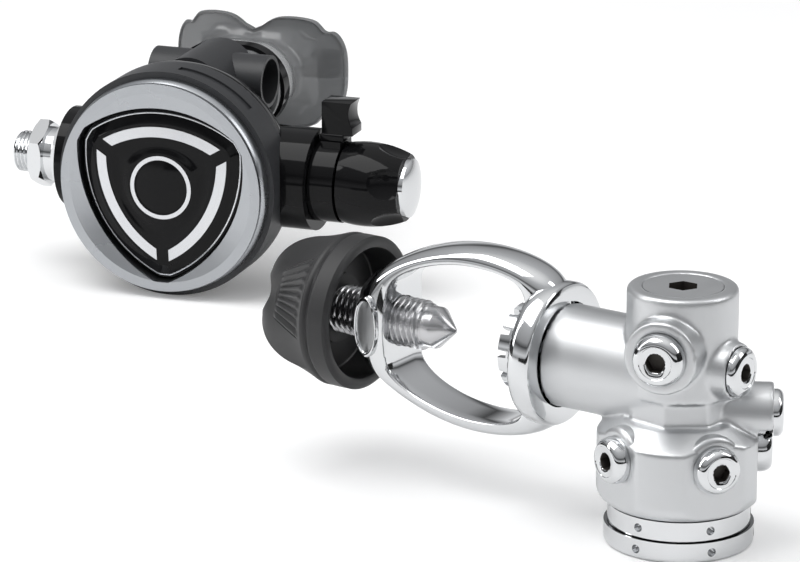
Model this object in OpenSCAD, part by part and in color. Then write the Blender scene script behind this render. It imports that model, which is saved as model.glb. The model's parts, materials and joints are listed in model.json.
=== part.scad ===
// Scuba regulator set: a yoke-clamp first stage beside the second stage that it feeds.
// The first stage stands on its end cap, with its body axis on +Z through the origin.
// The second stage stands on its rim behind it and to its left, cover towards -Y.

/* [Layout] */
// Sideways distance between the first stage's axis and the second stage's cover axis
stage_gap_x = 230; // [215:1:260]
// Distance from the first stage's axis back to the plane of the cover ring's front
stage_gap_y = 165; // [150:1:200]
// Heading of the yoke, in degrees round from +X
yoke_heading = 165; // [160:1:170]

/* [Case] */
// Radius of the case's rim
case_r = 39; // [38.6:0.1:41]
// Thickness of the case's moulded wall
case_wall = 2.6; // [2.2:0.1:3]
// Depth of the rim's front edge behind the cover ring's face
rim_front = 6; // [5:0.5:7]
// Depth of the case's flat back
case_back = 40; // [39:0.5:42]
// Radius of the round between the rim and the back
dome_r = 20; // [16:1:21]
// Depth of the valve barrel's axis
barrel_y = 29; // [28:0.5:30]
// Radius of the two necks that carry the valve barrel
neck_r = 17.4; // [16.5:0.1:18]
// Reach of the knob-side neck from the cover axis
neck_right = 47; // [44:0.5:49]
// Reach of the inlet-side neck from the cover axis
neck_left = 44; // [42:0.5:46]

/* [Cover] */
// Outer radius of the cover ring
ring_r = 37; // [36.4:0.1:38.4]
// Radius of the long sides of the ring's three-cornered window
window_side_r = 47; // [45:0.5:50]
// Distance of each long side of the window from the cover axis
window_reach = 27.4; // [26.4:0.1:28]
// Radius that the window's corners reach
window_corner = 33; // [32:0.1:33.5]
// Gap round the purge button
button_gap = 0.5; // [0.3:0.1:0.8]
// Travel of the purge button
purge_travel = 2; // [1.6:0.1:2.4]

/* [Demand valve] */
// Outer radius of the valve barrel
barrel_r = 8.5; // [8.2:0.1:9]
// Bore radius of the valve barrel
barrel_bore = 7; // [6.6:0.1:7.2]
// Radius of the hose thread on the inlet
inlet_r = 7.14; // [6.6:0.01:7.4]
// Length of the hose thread
inlet_thread = 7; // [6:0.5:9]
// Width across the corners of the inlet's hexagon
inlet_hex = 24; // [22:0.5:26]
// Wire diameter of the valve spring
valve_wire = 0.9; // [0.7:0.1:1]

/* [Controls] */
// Greatest radius of the adjusting knob
knob_r = 14.4; // [14:0.1:15.5]
// Length of the adjusting knob
knob_l = 21; // [19:0.5:24]
// Number of finger scoops round the adjusting knob
knob_scoops = 5; // [4:1:6]
// Length of the airflow lever's collar along the barrel
collar_l = 7; // [6:0.5:8]
// Height of the airflow lever's paddle above the barrel's axis
paddle_h = 28.6; // [26:0.2:31]

/* [Rear] */
// Height of the mouthpiece's centre above the cover axis
mouth_z = 20; // [19:0.5:21]
// Radius of the case's rear neck
rear_neck_r = 10.2; // [9.6:0.1:10.4]
// Depth at which the mouthpiece's tube ends on its lip shield
shield_y = 88; // [84:0.5:92]
// Width of the mouthpiece's lip shield
shield_w = 65; // [60:1:70]
// Height of the mouthpiece's lip shield
shield_h = 43; // [38:1:46]
// Outer radius of the exhaust tee's side tubes
tee_r = 9; // [8.4:0.1:9.4]
// Half the length of the exhaust tee
tee_reach = 21; // [19:0.5:24]

/* [First stage body] */
// Radius of the turret
turret_r = 16; // [15.5:0.1:17]
// Height of the turret's top
turret_top = 76.4; // [75:0.1:80]
// Radius of the bell
bell_r = 24; // [23.5:0.1:25]
// Distance of the bell's port flats from the axis
flat_reach = 22; // [21.6:0.1:22.6]
// Radius of the upper cap ring
clamp_r = 20.7; // [20:0.1:21.4]
// Radius of the end cap
cap_r = 21.7; // [21:0.1:22.4]
// Height of the end cap
cap_h = 6; // [5:0.1:6.4]
// Height of the low-pressure ports
lp_z = 28; // [27:0.5:29]
// Height of the front high-pressure port
high_z = 60.7; // [60:0.1:62]
// Height of the rear high-pressure port
rear_z = 54; // [53:0.5:55]

/* [Yoke] */
// Height of the yoke's axis
yoke_z = 48.6; // [48:0.1:50]
// Radius of the arm that carries the yoke
arm_r = 15.2; // [14.6:0.1:15.8]
// Distance of the arm's end from the body's axis
arm_end = 38.8; // [37:0.1:40]
// Thickness of the yoke's boss on the arm
boss_l = 9.6; // [8:0.1:11]
// Length of the yoke's window along its axis
window_l = 48; // [46:0.5:52]
// Thickness of the yoke's two bars
bar_t = 5; // [4:0.1:6]
// Depth of the yoke from side to side
yoke_depth = 16; // [14:0.5:18]
// Thickness of the yoke's boss at the clamp screw
nut_l = 11.4; // [10:0.1:13]

/* [Clamp screw] */
// Radius of the clamp screw
screw_r = 7.5; // [7:0.1:8]
// Thread pitch of the clamp screw
screw_pitch = 2; // [1.5:0.25:2.5]
// Reach of the clamp screw's point into the window
screw_reach = 19; // [16:0.5:21]
// Greatest radius of the clamp knob
grip_r = 23.3; // [22.5:0.1:24.5]
// Length of the clamp knob
grip_l = 34; // [32:0.5:37]
// Number of scoops round the clamp knob
grip_scoops = 3; // [3:1:4]
// Distance that the screw can still be driven in
screw_in = 10; // [8:0.5:11]

/* [Fits] */
// Clearance of a running or a screwed fit, on the radius
fit_gap = 0.06; // [0.03:0.01:0.09]
// Clearance between pieces that pass or seat loosely
free_gap = 0.3; // [0.2:0.05:0.4]

/* [Hidden] */
$fn = 64;

// Second stage, depths behind the cover ring's face
cavity_r = case_r - case_wall;
ledge_r = cavity_r - 3.4;
fold_mid = ledge_r - 6.5;
fold_r = 3.4;
fold_t = 1;
ring_foot = rim_front + 4.4;
retainer_y = ring_foot + 0.1;
retainer_t = 1.5;
diaphragm_y = retainer_y + retainer_t + 0.1;
diaphragm_rim = 1.5;
ledge_y = diaphragm_y + diaphragm_rim;
disc_y = diaphragm_y + 1.1;
disc_t = 1;
plate_y = disc_y + disc_t + 0.1;
plate_t = 0.8;
lever_y = plate_y + plate_t + 0.2;
flange_y = rim_front + 0.2;
flange_t = 1.4;
button_crown = 1;
crown_r = 260;
inner_back = case_back - case_wall;
inlay_t = 0.3;

// Demand valve, distances along the barrel from the cover axis
barrel_left = -neck_left + 4;
seat_x = -14;
poppet_l = 27;
collar_x = seat_x + poppet_l + 2;
pivot_x = collar_x - 1;
pivot_y = barrel_y - barrel_r + 0.5;
foot_y = barrel_y;
spring_x = collar_x + 2.2;
spring_l = 12;
seat_plug_x = spring_x + spring_l + 0.2;
seat_plug_l = 4;
collar_at = neck_right + 2.2;
knob_at = collar_at + collar_l + 0.9;
cap_at = knob_at + knob_l;
knob_seat = 4;
barrel_right = knob_at + knob_seat;
sleeve_out = barrel_r + 1.7;
shaft_r = 4;

// Rear of the case
rear_z_top = mouth_z - 4;
spigot_y = 60;
spigot_end = 73;
spigot_r = 11.6;
spigot_half = 5.5;
soft_wall = 2.2;
tie_y = spigot_y + 4;
tie_l = 5;
tee_y = 49.5;
tee_z = case_r - 12;
tee_wall = 1.3;
stem_r = 12.2;
stem_z = case_r - 12.5;
stem_y = 28;
vent_tilt = 38;
vent_r = 4.8;
flap_r = 6;
vent_seat = dome_r + 0.4;

// First stage, heights above the foot
clamp_z = cap_h + free_gap;
clamp_top = 12;
sleeve_r = clamp_r - 3.2;
sleeve_top = 20.2;
adjuster_r = 12.4;
diaphragm_z = sleeve_top + 0.1;
diaphragm_t = 1.6;
chamber_z = diaphragm_z + diaphragm_t;
chamber_r = 12;
chamber_top = 31;
crown_z = 35;
high_bore = 5;
high_top = 62;
plug_bore = 11.6;
plug_seat = turret_top - 7;
shoulder_z = 33;
waist_z = 38;
waist_r = 14.6;

// Ports: heading round from the yoke, height, distance of the face from the axis
lp_headings = [66, 148, -66, -148];
front_heading = 104;
front_reach = 21.5;
front_boss_r = 10.7;
rear_reach = 18.9;
rear_boss_r = 8;
stub_heading = -150;
stub_z = 39;
stub_reach = 26.5;
stub_r = 8.8;
lp_bore = 4.76;
high_thread_r = 5.56;
thread_depth = 7;
oring_pocket = 1.2;

// Yoke, distances along its axis from the body's axis
window_at = arm_end + boss_l;
window_end = window_at + window_l;
yoke_end = window_end + nut_l;
lens_r = 60;
lens_x = window_at + 0.37 * window_l;
lens_half = 28.4;
lens_drop = lens_r - lens_half;
retainer_r = 11;
retainer_head_r = 13.2;
retainer_head = 2.4;
inlet_bore = 5.4;
tip_x = window_end - screw_reach;
grip_at = yoke_end + 2.5;
grip_end = grip_at + grip_l;
hub_at = yoke_end + screw_in + 1.2;
hub_r = 10.5;
hub_end = grip_end - 9;

// ---- Placing -------------------------------------------------------------

module second_stage() { translate([-stage_gap_x, stage_gap_y, case_r]) children(); }
module first_stage() { rotate([0, 0, yoke_heading]) children(); }
// A profile of [radius, depth] turned about the cover axis
module turned_y() { rotate([-90, 0, 0]) rotate_extrude() children(); }
// A profile of [radius, distance] turned about the valve barrel's axis
module on_barrel() { translate([0, barrel_y, 0]) rotate([0, 90, 0]) children(); }
// A profile of [radius, distance] turned about the yoke's axis
module on_yoke() { translate([0, 0, yoke_z]) rotate([0, 90, 0]) children(); }
// An outline in the plane of the cover, from one depth to another
module plate(from, to) {
    translate([0, to, 0]) rotate([90, 0, 0]) linear_extrude(to - from) children();
}
// A piece that points outwards from the first stage's axis
module port(heading, z, reach) {
    rotate([0, 0, heading]) translate([reach, 0, z]) rotate([0, 90, 0]) children();
}

module tube(r, bore, from, to) {
    translate([0, 0, from]) difference() {
        cylinder(r = r, h = to - from);
        translate([0, 0, -1]) cylinder(r = bore, h = to - from + 2);
    }
}

// An open coil of round wire about Z, from the lower wire's centre to the upper one's
module coil(r_low, r_high, wire, turns, height) {
    sides = 6;
    steps = round(turns * 16);
    function ring_centre(i) = let (t = i / steps, a = 360 * turns * t, r = r_low + (r_high - r_low) * t)
        [r * cos(a), r * sin(a), height * t];
    function ring_point(i, j) = let (a = 360 * turns * i / steps, b = 360 * j / sides)
        ring_centre(i) + wire / 2 * [cos(b) * cos(a), cos(b) * sin(a), sin(b)];
    points = [for (i = [0:steps]) for (j = [0:sides - 1]) ring_point(i, j)];
    walls = [for (i = [0:steps - 1]) for (j = [0:sides - 1]) let (k = (j + 1) % sides)
        each [[i * sides + j, (i + 1) * sides + k, i * sides + k],
              [i * sides + j, (i + 1) * sides + j, (i + 1) * sides + k]]];
    last = steps * sides;
    start = [for (j = [1:sides - 2]) [0, j, j + 1]];
    end = [for (j = [1:sides - 2]) [last, last + j + 1, last + j]];
    polyhedron(points, concat(walls, start, end));
}

// ---- Second stage: case and cover ----------------------------------------

// The window's outline: three long arcs that meet in corners, point down
module window_outline(inset) {
    intersection() {
        circle(r = window_corner - inset);
        intersection_for(side = [0:2])
            rotate(90 + 120 * side)
                translate([window_reach - window_side_r, 0])
                    circle(r = window_side_r - inset);
    }
}

module case_profile(inset, front) {
    // straight rim, rounded shoulder and flat back
    corner_r = dome_r - inset;
    translate([0, front]) square([case_r - inset, case_back - dome_r - front]);
    translate([0, front]) square([case_r - dome_r, case_back - inset - front]);
    intersection() {
        translate([case_r - dome_r, case_back - dome_r]) circle(r = corner_r);
        translate([0, front]) square([case_r, case_back]);
    }
}

// Along the exhaust port's axis, square to the case's rounded shoulder
module vent() {
    translate([0, case_back - dome_r, case_r - dome_r]) rotate([vent_tilt - 90, 0, 0]) children();
}

module spigot_outline(grow) {
    for (side = [-1, 1]) translate([side * spigot_half, mouth_z]) circle(r = spigot_r + grow);
    translate([-spigot_half, mouth_z - spigot_r - grow])
        square([2 * spigot_half, 2 * (spigot_r + grow)]);
}

module housing() {
    color("#242527") difference() {
        union() {
            turned_y() case_profile(0, rim_front);
            on_barrel() translate([0, 0, -neck_left]) cylinder(r = neck_r, h = neck_left + neck_right);
            translate([0, 30, rear_z_top]) rotate([-90, 0, 0])
                cylinder(r = rear_neck_r, h = spigot_y + 1 - 30);
            plate(spigot_y, spigot_end) spigot_outline(0);
            // flat seat of the exhaust valve
            vent() translate([0, 0, dome_r - case_wall]) cylinder(r = flap_r + 0.6, h = vent_seat - dome_r + case_wall);
        }
        // front recess for the ring, the retainer and the diaphragm, then the air chamber
        turned_y() translate([0, rim_front - 1]) square([cavity_r, ledge_y - rim_front + 1]);
        turned_y() intersection() {
            case_profile(case_wall, rim_front);
            translate([0, ledge_y - 0.01]) square([ledge_r, case_back]);
        }
        // barrel seats
        on_barrel() translate([0, 0, -neck_left - 1]) cylinder(r = barrel_r + fit_gap, h = 2 * neck_left);
        on_barrel() translate([0, 0, 10]) cylinder(r = sleeve_out + free_gap, h = neck_right);
        // airway to the mouthpiece
        translate([0, inner_back - 4, rear_z_top]) rotate([-90, 0, 0])
            cylinder(r = rear_neck_r - case_wall, h = spigot_y + case_wall + 0.1 - inner_back + 4);
        plate(spigot_y + case_wall, spigot_end + 1) spigot_outline(-case_wall);
        // exhaust port under the tee
        vent() translate([0, 0, dome_r - case_wall - 2]) cylinder(r = vent_r, h = case_wall + 5);
        // shallow slot along the top of the rim
        intersection() {
            turned_y() translate([case_r - 0.7, rim_front + 5]) square([2, 3.4]);
            rotate([0, 25, 0]) translate([-14, 0, 20]) cube([28, 30, 30]);
        }
    }
}

module cover_ring() {
    face_r = 4.2;
    color("#c9cccf") difference() {
        turned_y() difference() {
            union() {
                // rounded outer shoulder, face and foot that enters the case
                intersection() {
                    translate([ring_r - face_r, face_r]) circle(r = face_r);
                    square([ring_r, rim_front - 0.1]);
                }
                square([ring_r - face_r, rim_front]);
                translate([0, face_r]) square([ring_r, rim_front - 0.1 - face_r]);
                square([cavity_r - free_gap, ring_foot]);
            }
            // everything in front of the sloped face
            polygon([[0, -1], [0, 1.9], [window_reach - 2, 1.9], [ring_r - face_r, 0], [ring_r, -1]]);
            translate([-1, rim_front]) square([window_corner + 1.4, ring_foot]);
        }
        plate(-1, rim_front + 1) window_outline(0);
    }
}

// The button's crowned front, from a depth at the cover axis
module crown(depth) {
    turned_y() intersection() {
        translate([0, depth + crown_r]) circle(r = crown_r, $fn = 720);
        square([case_r, rim_front + 4]);
    }
}

module purge_button() {
    color("#151517") difference() {
        union() {
            intersection() {
                plate(0, flange_y + 0.5) window_outline(button_gap);
                crown(button_crown);
            }
            turned_y() translate([0, flange_y]) square([window_corner - 0.2, flange_t]);
            turned_y() square_between(0, 4, flange_y + 0.5, disc_y - 0.2);
        }
        // hollow back
        turned_y() square_between(6, 20, button_crown + 2.6, flange_y + flange_t + 1);
    }
}

module square_between(r_in, r_out, from, to) {
    translate([r_in, from]) square([r_out - r_in, to - from]);
}

// Plain trim: three arc bars that follow the window's sides, and a centre ring
module purge_inlays() {
    color("#d5d8da") difference() {
        intersection() {
            plate(0, flange_y) {
                difference() {
                    window_outline(6.5);
                    window_outline(10);
                    for (side = [0:2]) rotate(30 + 120 * side) translate([16, -2.2]) square([30, 4.4]);
                }
                difference() {
                    circle(r = 11);
                    circle(r = 9.6);
                }
            }
            crown(button_crown - inlay_t);
        }
        crown(button_crown);
    }
}

module purge_spring() {
    wire = 0.8;
    low = flange_y + flange_t + wire / 2 + 0.02;
    high = retainer_y - wire / 2 - 0.02;
    color("#b9bcc0") translate([0, low, 0]) rotate([-90, 0, 0])
        coil(fold_mid - 3, ledge_r - 3, wire, 2.5, high - low);
}

module diaphragm_retainer() {
    color("#b7babd") turned_y()
        square_between(fold_mid + 1, cavity_r - free_gap, retainer_y, retainer_y + retainer_t);
}

module diaphragm() {
    bead = cavity_r - free_gap;
    color("#3a3c3e") turned_y() {
        square_between(ledge_r - 1, bead, diaphragm_y, diaphragm_y + diaphragm_rim);
        // rolled fold between the bead and the disc
        translate([fold_mid, diaphragm_y + 1.2]) difference() {
            circle(r = fold_r);
            circle(r = fold_r - fold_t);
            translate([-fold_r - 1, -fold_r - 1]) square([2 * fold_r + 2, fold_r + 1]);
        }
        square_between(fold_mid + fold_r - 0.6, ledge_r - 0.5, diaphragm_y + 0.5, diaphragm_y + diaphragm_rim);
        square_between(0, fold_mid - fold_r + 0.6, disc_y, disc_y + disc_t);
    }
}

module diaphragm_plate() {
    color("#c4c6c8") turned_y() square_between(0, 16, plate_y, plate_y + plate_t);
}

// ---- Second stage: demand valve ------------------------------------------

module demand_lever() {
    strip = 1;
    leg_z = barrel_r + 0.5;
    foot_in = 4.4;
    tongue = [[-3, lever_y + 0.5], [-1, lever_y], [1, lever_y], [pivot_x - 3, pivot_y - 3.4],
              [pivot_x + 1.2, pivot_y - 3], [pivot_x + 1.2, pivot_y - 2], [pivot_x - 3.2, pivot_y - 2.4],
              [0.7, lever_y + strip], [-0.8, lever_y + strip], [-3, lever_y + strip + 0.5]];
    color("#aeb1b5") {
        translate([0, 0, -3]) linear_extrude(6) polygon(tongue);
        // cross bar and the two legs that straddle the barrel
        translate([pivot_x - 1.2, pivot_y - 3, -leg_z - strip])
            cube([2.4, strip, 2 * (leg_z + strip)]);
        for (side = [-1, 1]) scale([1, 1, side]) {
            // pressed boss on the swing's axis
            translate([pivot_x, pivot_y, leg_z]) cylinder(r = 0.9, h = strip + 0.4);
            translate([pivot_x - 1.2, pivot_y - 3, leg_z]) cube([2.4, foot_y - pivot_y + 4, strip]);
            translate([pivot_x, foot_y, foot_in]) cube([1.1, 1, leg_z - foot_in + strip]);
        }
    }
}

module valve_barrel() {
    color("#b4b7ba") on_barrel() difference() {
        tube(barrel_r, barrel_bore, barrel_left, barrel_right);
        // slots that the lever's feet reach through
        translate([-barrel_r - 2, -2.4, pivot_x - 3]) cube([2 * barrel_r + 4, 6, 7.4]);
        // air outlet towards the mouthpiece
        translate([0, 0, seat_x + 4]) rotate([-90, 0, 0]) cylinder(r = 2.6, h = barrel_r + 2);
    }
}

module inlet_fitting() {
    hex_end = -neck_left - 8;
    thread_at = hex_end - 5;
    tip = thread_at - inlet_thread;
    color("#d9dbdd") on_barrel() difference() {
        union() {
            translate([0, 0, tip]) cylinder(r = inlet_r, h = inlet_thread + 0.5);
            intersection() {
                translate([0, 0, thread_at]) cylinder(r = inlet_hex / 2, h = 5, $fn = 6);
                translate([0, 0, thread_at]) rotate_extrude()
                    polygon([[0, 0], [inlet_hex / 2 - 1.4, 0], [inlet_hex / 2, 0.9],
                             [inlet_hex / 2, 4.1], [inlet_hex / 2 - 1.4, 5], [0, 5]]);
            }
            translate([0, 0, hex_end - 0.5]) cylinder(r = 9.4, h = 4.2);
            translate([0, 0, hex_end]) cylinder(r = barrel_bore - fit_gap, h = 24);
            translate([0, 0, hex_end]) cylinder(r = 3.2, h = seat_x - 0.1 - hex_end);
        }
        translate([0, 0, tip - 1]) cylinder(r = 4.3, h = 12);
        translate([0, 0, tip - 2]) cylinder(r = 2.1, h = seat_x - tip + 4);
    }
}

module inlet_locknut() {
    color("#cfd2d4") on_barrel() difference() {
        intersection() {
            translate([0, 0, -neck_left - 4.2]) cylinder(r = inlet_hex / 2, h = 4, $fn = 6);
            translate([0, 0, -neck_left - 4.2]) rotate_extrude()
                polygon([[0, 0], [inlet_hex / 2 - 1.4, 0], [inlet_hex / 2, 0.9], [inlet_hex / 2, 4],
                         [0, 4]]);
        }
        translate([0, 0, -neck_left - 5]) cylinder(r = barrel_bore, h = 8);
    }
}

module inlet_oring() {
    color("#101112") on_barrel() translate([0, 0, barrel_left - 2]) rotate_extrude()
        translate([barrel_bore + 0.75, 0]) circle(r = 0.7);
}

module poppet() {
    guide_r = barrel_bore - fit_gap;
    color("#c9b98a") on_barrel() union() {
        translate([0, 0, seat_x]) cylinder(r = 4.4, h = 6);
        translate([0, 0, seat_x + 6]) cylinder(r = 3.4, h = collar_x - seat_x - 5.5);
        translate([0, 0, collar_x + 0.3]) cylinder(r = guide_r, h = 1.5);
        for (at = [seat_x + 2, seat_x + 14]) translate([0, 0, at]) tube(guide_r, 2, 0, 2);
    }
}

module valve_spring() {
    color("#b9bcc0") on_barrel() translate([0, 0, spring_x])
        coil(5.2, 5.2, valve_wire, 6, spring_l - valve_wire);
}

module spring_seat() {
    color("#c9b98a") on_barrel() translate([0, 0, seat_plug_x])
        cylinder(r = barrel_bore - fit_gap, h = seat_plug_l);
}

module knob_shaft() {
    color("#b7babd") on_barrel() union() {
        translate([0, 0, seat_plug_x + seat_plug_l + 0.2])
            cylinder(r = shaft_r, h = cap_at - 5 - seat_plug_x - seat_plug_l);
        tube(barrel_bore - fit_gap, shaft_r - 0.5, barrel_right - 6, barrel_right - 0.5);
    }
}

module adjusting_knob() {
    scoop_r = 15;
    color("#17181a") on_barrel() difference() {
        union() {
            // rounded barrel shape, tapering to the cap
            intersection() {
                translate([0, 0, knob_at]) cylinder(r = knob_r, h = knob_l);
                translate([0, 0, knob_at]) rotate_extrude() intersection() {
                    square([knob_r, knob_l]);
                    translate([knob_r - 36, knob_l * 0.33]) circle(r = 36);
                }
            }
        }
        // finger scoops that open towards the outer end
        for (i = [0:knob_scoops - 1]) rotate([0, 0, 360 * (i + 0.5) / knob_scoops])
            translate([knob_r + scoop_r * 0.72, 0, knob_at + knob_l * 1.02]) rotate([0, 20, 0])
                sphere(r = scoop_r);
        translate([0, 0, knob_at - 1]) cylinder(r = shaft_r + fit_gap, h = knob_l + 2);
        translate([0, 0, knob_at - 1]) cylinder(r = barrel_r + fit_gap, h = knob_seat + 1.2);
        translate([0, 0, cap_at - 3]) cylinder(r = 8.2 + fit_gap, h = 4);
    }
}

module knob_cap() {
    dome = 26;
    color("#dfe1e3") on_barrel() translate([0, 0, cap_at - 3]) union() {
        cylinder(r = 8.2, h = 3.2);
        translate([0, 0, 3.05]) intersection() {
            cylinder(r = 10, h = 4);
            translate([0, 0, 3.6 - dome]) sphere(r = dome, $fn = 96);
        }
    }
}

module venturi_lever() {
    lean = 4;
    color("#1a1b1d") union() {
        on_barrel() tube(knob_r - 0.4, sleeve_out + 0.02, collar_at - 1.9, collar_at + collar_l);
        // stepped stalk and paddle
        difference() {
            union() {
                translate([collar_at, barrel_y - 5.5, 10]) cube([collar_l, 11, 5.6]);
                translate([collar_at - 0.6, barrel_y - 5, 15.2]) cube([collar_l + 1.6, 10, 2.4]);
                translate([collar_at, barrel_y - 4.6, 17.2])
                    cube([collar_l + lean, 9.2, paddle_h - 17.2]);
            }
            on_barrel() translate([0, 0, collar_at - 2]) cylinder(r = sleeve_out + 0.02, h = collar_l + 4);
            // thumb hollow on the knob side of the paddle
            translate([collar_at + collar_l + lean + 7, barrel_y, paddle_h - 4])
                rotate([90, 0, 0]) cylinder(r = 8.4, h = 40, center = true);
        }
    }
}

module venturi_vane() {
    color("#26282a") on_barrel() union() {
        tube(sleeve_out, barrel_r + fit_gap, 20, collar_at + collar_l - 0.1);
        // flap that turns the air jet
        rotate([0, 0, 215]) translate([sleeve_out - 0.4, -0.8, 20]) cube([4, 1.6, 8]);
    }
}

// ---- Second stage: rear --------------------------------------------------

module exhaust_tee() {
    back = tee_y + tee_r;
    color("#3b3d40") difference() {
        union() {
            translate([-tee_reach, tee_y, tee_z]) rotate([0, 90, 0]) cylinder(r = tee_r, h = 2 * tee_reach);
            // shell that joins the side tubes to the case
            translate([0, stem_y, stem_z]) rotate([-90, 0, 0]) cylinder(r = stem_r, h = back - stem_y);
        }
        translate([-tee_reach - 1, tee_y, tee_z]) rotate([0, 90, 0])
            cylinder(r = tee_r - tee_wall, h = 2 * tee_reach + 2);
        translate([0, stem_y - 1, stem_z]) rotate([-90, 0, 0])
            cylinder(r = stem_r - tee_wall, h = back - tee_wall - stem_y + 1);
        // seat on the case and saddle over the rear neck
        turned_y() case_profile(-0.05, rim_front);
        translate([0, 20, rear_z_top]) rotate([-90, 0, 0]) cylinder(r = rear_neck_r + 0.1, h = spigot_y);
    }
}

module exhaust_valve() {
    color("#2a2c2e") vent() union() {
        translate([0, 0, vent_seat + 0.02]) cylinder(r = flap_r, h = 0.7);
        translate([0, 0, dome_r - case_wall - 1.5]) cylinder(r = 0.9, h = case_wall + 2.5);
    }
}

module shield_outline(grow) {
    round_r = shield_h / 2 + grow;
    for (side = [-1, 1]) translate([side * (shield_w / 2 - round_r), 0]) circle(r = round_r);
    translate([-(shield_w / 2 - round_r), -round_r]) square([shield_w - 2 * round_r, 2 * round_r]);
}

module mouthpiece() {
    shield_t = 2;
    bite_l = 17;
    color("#4b4e51") difference() {
        union() {
            // collar over the spigot, tube and lip shield
            plate(spigot_y + 1, spigot_end + 6) spigot_outline(soft_wall);
            plate(spigot_end + 5, shield_y + 1) spigot_outline(0.6);
            plate(shield_y, shield_y + shield_t) translate([0, mouth_z]) shield_outline(0);
            // bite pads on their bridge
            for (side = [-1, 1]) translate([side * 20, shield_y + shield_t - 0.5, mouth_z]) {
                translate([-5, 0, -1.5]) cube([10, bite_l, 3]);
                translate([-5, bite_l - 11, -5]) cube([10, 11, 10]);
            }
        }
        plate(spigot_y, spigot_end + 0.1) spigot_outline(fit_gap);
        plate(spigot_end, shield_y + shield_t + 1) spigot_outline(-1.8);
        // notch for the lip
        translate([0, shield_y - 1, mouth_z + shield_h / 2 + 3]) rotate([-90, 0, 0]) cylinder(r = 7, h = 6);
        translate([0, shield_y - 1, mouth_z - shield_h / 2 - 3]) rotate([-90, 0, 0]) cylinder(r = 7, h = 6);
    }
}

module mouthpiece_tie() {
    color("#111213") difference() {
        union() {
            plate(tie_y, tie_y + tie_l) spigot_outline(soft_wall + 1.4);
            translate([-5, tie_y, mouth_z - spigot_r - soft_wall - 3.4]) cube([6, tie_l, 4]);
        }
        plate(tie_y - 1, tie_y + tie_l + 1) spigot_outline(soft_wall + 0.05);
    }
}

// ---- First stage: body and caps ------------------------------------------

module lp_socket(reach, inner) {
    translate([0, 0, -thread_depth]) cylinder(r = lp_bore, h = thread_depth + 1);
    translate([0, 0, -oring_pocket]) cylinder(r = lp_bore + 1.6, h = oring_pocket + 1);
    translate([0, 0, inner - reach]) cylinder(r = 2, h = reach - inner);
}

module regulator_body() {
    foot_z = clamp_top + 0.2;
    foot_round = 4.6;
    color("#d4d7da") difference() {
        union() {
            // bell with a rounded foot and a sloped shoulder
            rotate_extrude() {
                translate([0, foot_z + foot_round]) square([bell_r, shoulder_z - foot_z - foot_round]);
                translate([0, foot_z]) square([bell_r - foot_round, foot_round + 1]);
                translate([bell_r - foot_round, foot_z + foot_round]) circle(r = foot_round);
                polygon([[0, shoulder_z], [bell_r, shoulder_z], [waist_r + 2.6, waist_z], [0, waist_z + 1]]);
            }
            // faceted waist
            rotate([0, 0, 14.5]) translate([0, 0, shoulder_z]) cylinder(r = waist_r + 1.2, h = 18, $fn = 8);
            // turret
            rotate_extrude() {
                translate([0, yoke_z - 3]) square([turret_r, turret_top - 1.4 - yoke_z + 3]);
                translate([0, yoke_z]) square([turret_r - 1.4, turret_top - yoke_z]);
                translate([turret_r - 1.4, turret_top - 1.4]) circle(r = 1.4);
            }
            // arm for the yoke
            on_yoke() cylinder(r = arm_r, h = arm_end);
            // bosses of the two high-pressure ports and the side stub
            port(front_heading, high_z, 0) cylinder(r = front_boss_r, h = front_reach);
            port(180, rear_z, 0) cylinder(r1 = rear_boss_r + 4, r2 = rear_boss_r, h = rear_reach);
            port(stub_heading, stub_z, 0) cylinder(r = stub_r, h = stub_reach);
        }
        // flats that carry the low-pressure ports
        for (heading = lp_headings) rotate([0, 0, heading])
            translate([flat_reach, -16, clamp_top - 2]) cube([8, 32, shoulder_z - clamp_top + 5]);
        for (heading = lp_headings) port(heading, lp_z, flat_reach) lp_socket(flat_reach, 8);
        port(stub_heading, stub_z, stub_reach) lp_socket(stub_reach, 2);
        for (at = [[front_heading, high_z, front_reach], [180, rear_z, rear_reach]])
            port(at[0], at[1], at[2]) {
                translate([0, 0, -thread_depth]) cylinder(r = high_thread_r, h = thread_depth + 1);
                translate([0, 0, -oring_pocket]) cylinder(r = high_thread_r + 1.6, h = oring_pocket + 1);
                translate([0, 0, -at[2] + 3]) cylinder(r = 1.6, h = at[2] - 3);
            }
        // clamp sleeve, diaphragm seat, chamber and valve bore
        translate([0, 0, clamp_top - 1]) cylinder(r = sleeve_r + fit_gap, h = chamber_z - clamp_top + 1);
        cylinder(r = chamber_r, h = chamber_top);
        cylinder(r = 2.4, h = crown_z + 1);
        translate([0, 0, crown_z]) cylinder(r = high_bore, h = high_top - crown_z);
        // inlet along the arm
        on_yoke() cylinder(r = 3, h = arm_end + 1);
        on_yoke() translate([0, 0, arm_end - 12]) cylinder(r = retainer_r - 1, h = 13);
        // recess for the turret's plug
        translate([0, 0, plug_seat]) cylinder(r = plug_bore, h = 12);
    }
}

module turret_plug() {
    color("#dcdee0") difference() {
        union() {
            translate([0, 0, plug_seat + 0.05]) cylinder(r = plug_bore - fit_gap, h = turret_top - plug_seat - 0.25);
        }
        translate([0, 0, turret_top - 4]) cylinder(r = 4.6, h = 6, $fn = 6);
    }
}

module diaphragm_clamp() {
    hole = 1.3;
    color("#d9dbdd") difference() {
        union() {
            translate([0, 0, clamp_z]) cylinder(r = clamp_r, h = clamp_top - clamp_z);
            translate([0, 0, clamp_z]) cylinder(r = sleeve_r, h = sleeve_top - clamp_z);
            translate([0, 0, 2.6]) cylinder(r = 16.4, h = 6);
        }
        cylinder(r = adjuster_r + fit_gap, h = 40);
        for (a = [0:60:359]) rotate([0, 0, a + 27]) translate([clamp_r - 2.4, 0, (clamp_z + clamp_top) / 2])
            rotate([0, 90, 0]) cylinder(r = hole, h = 4);
    }
}

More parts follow.
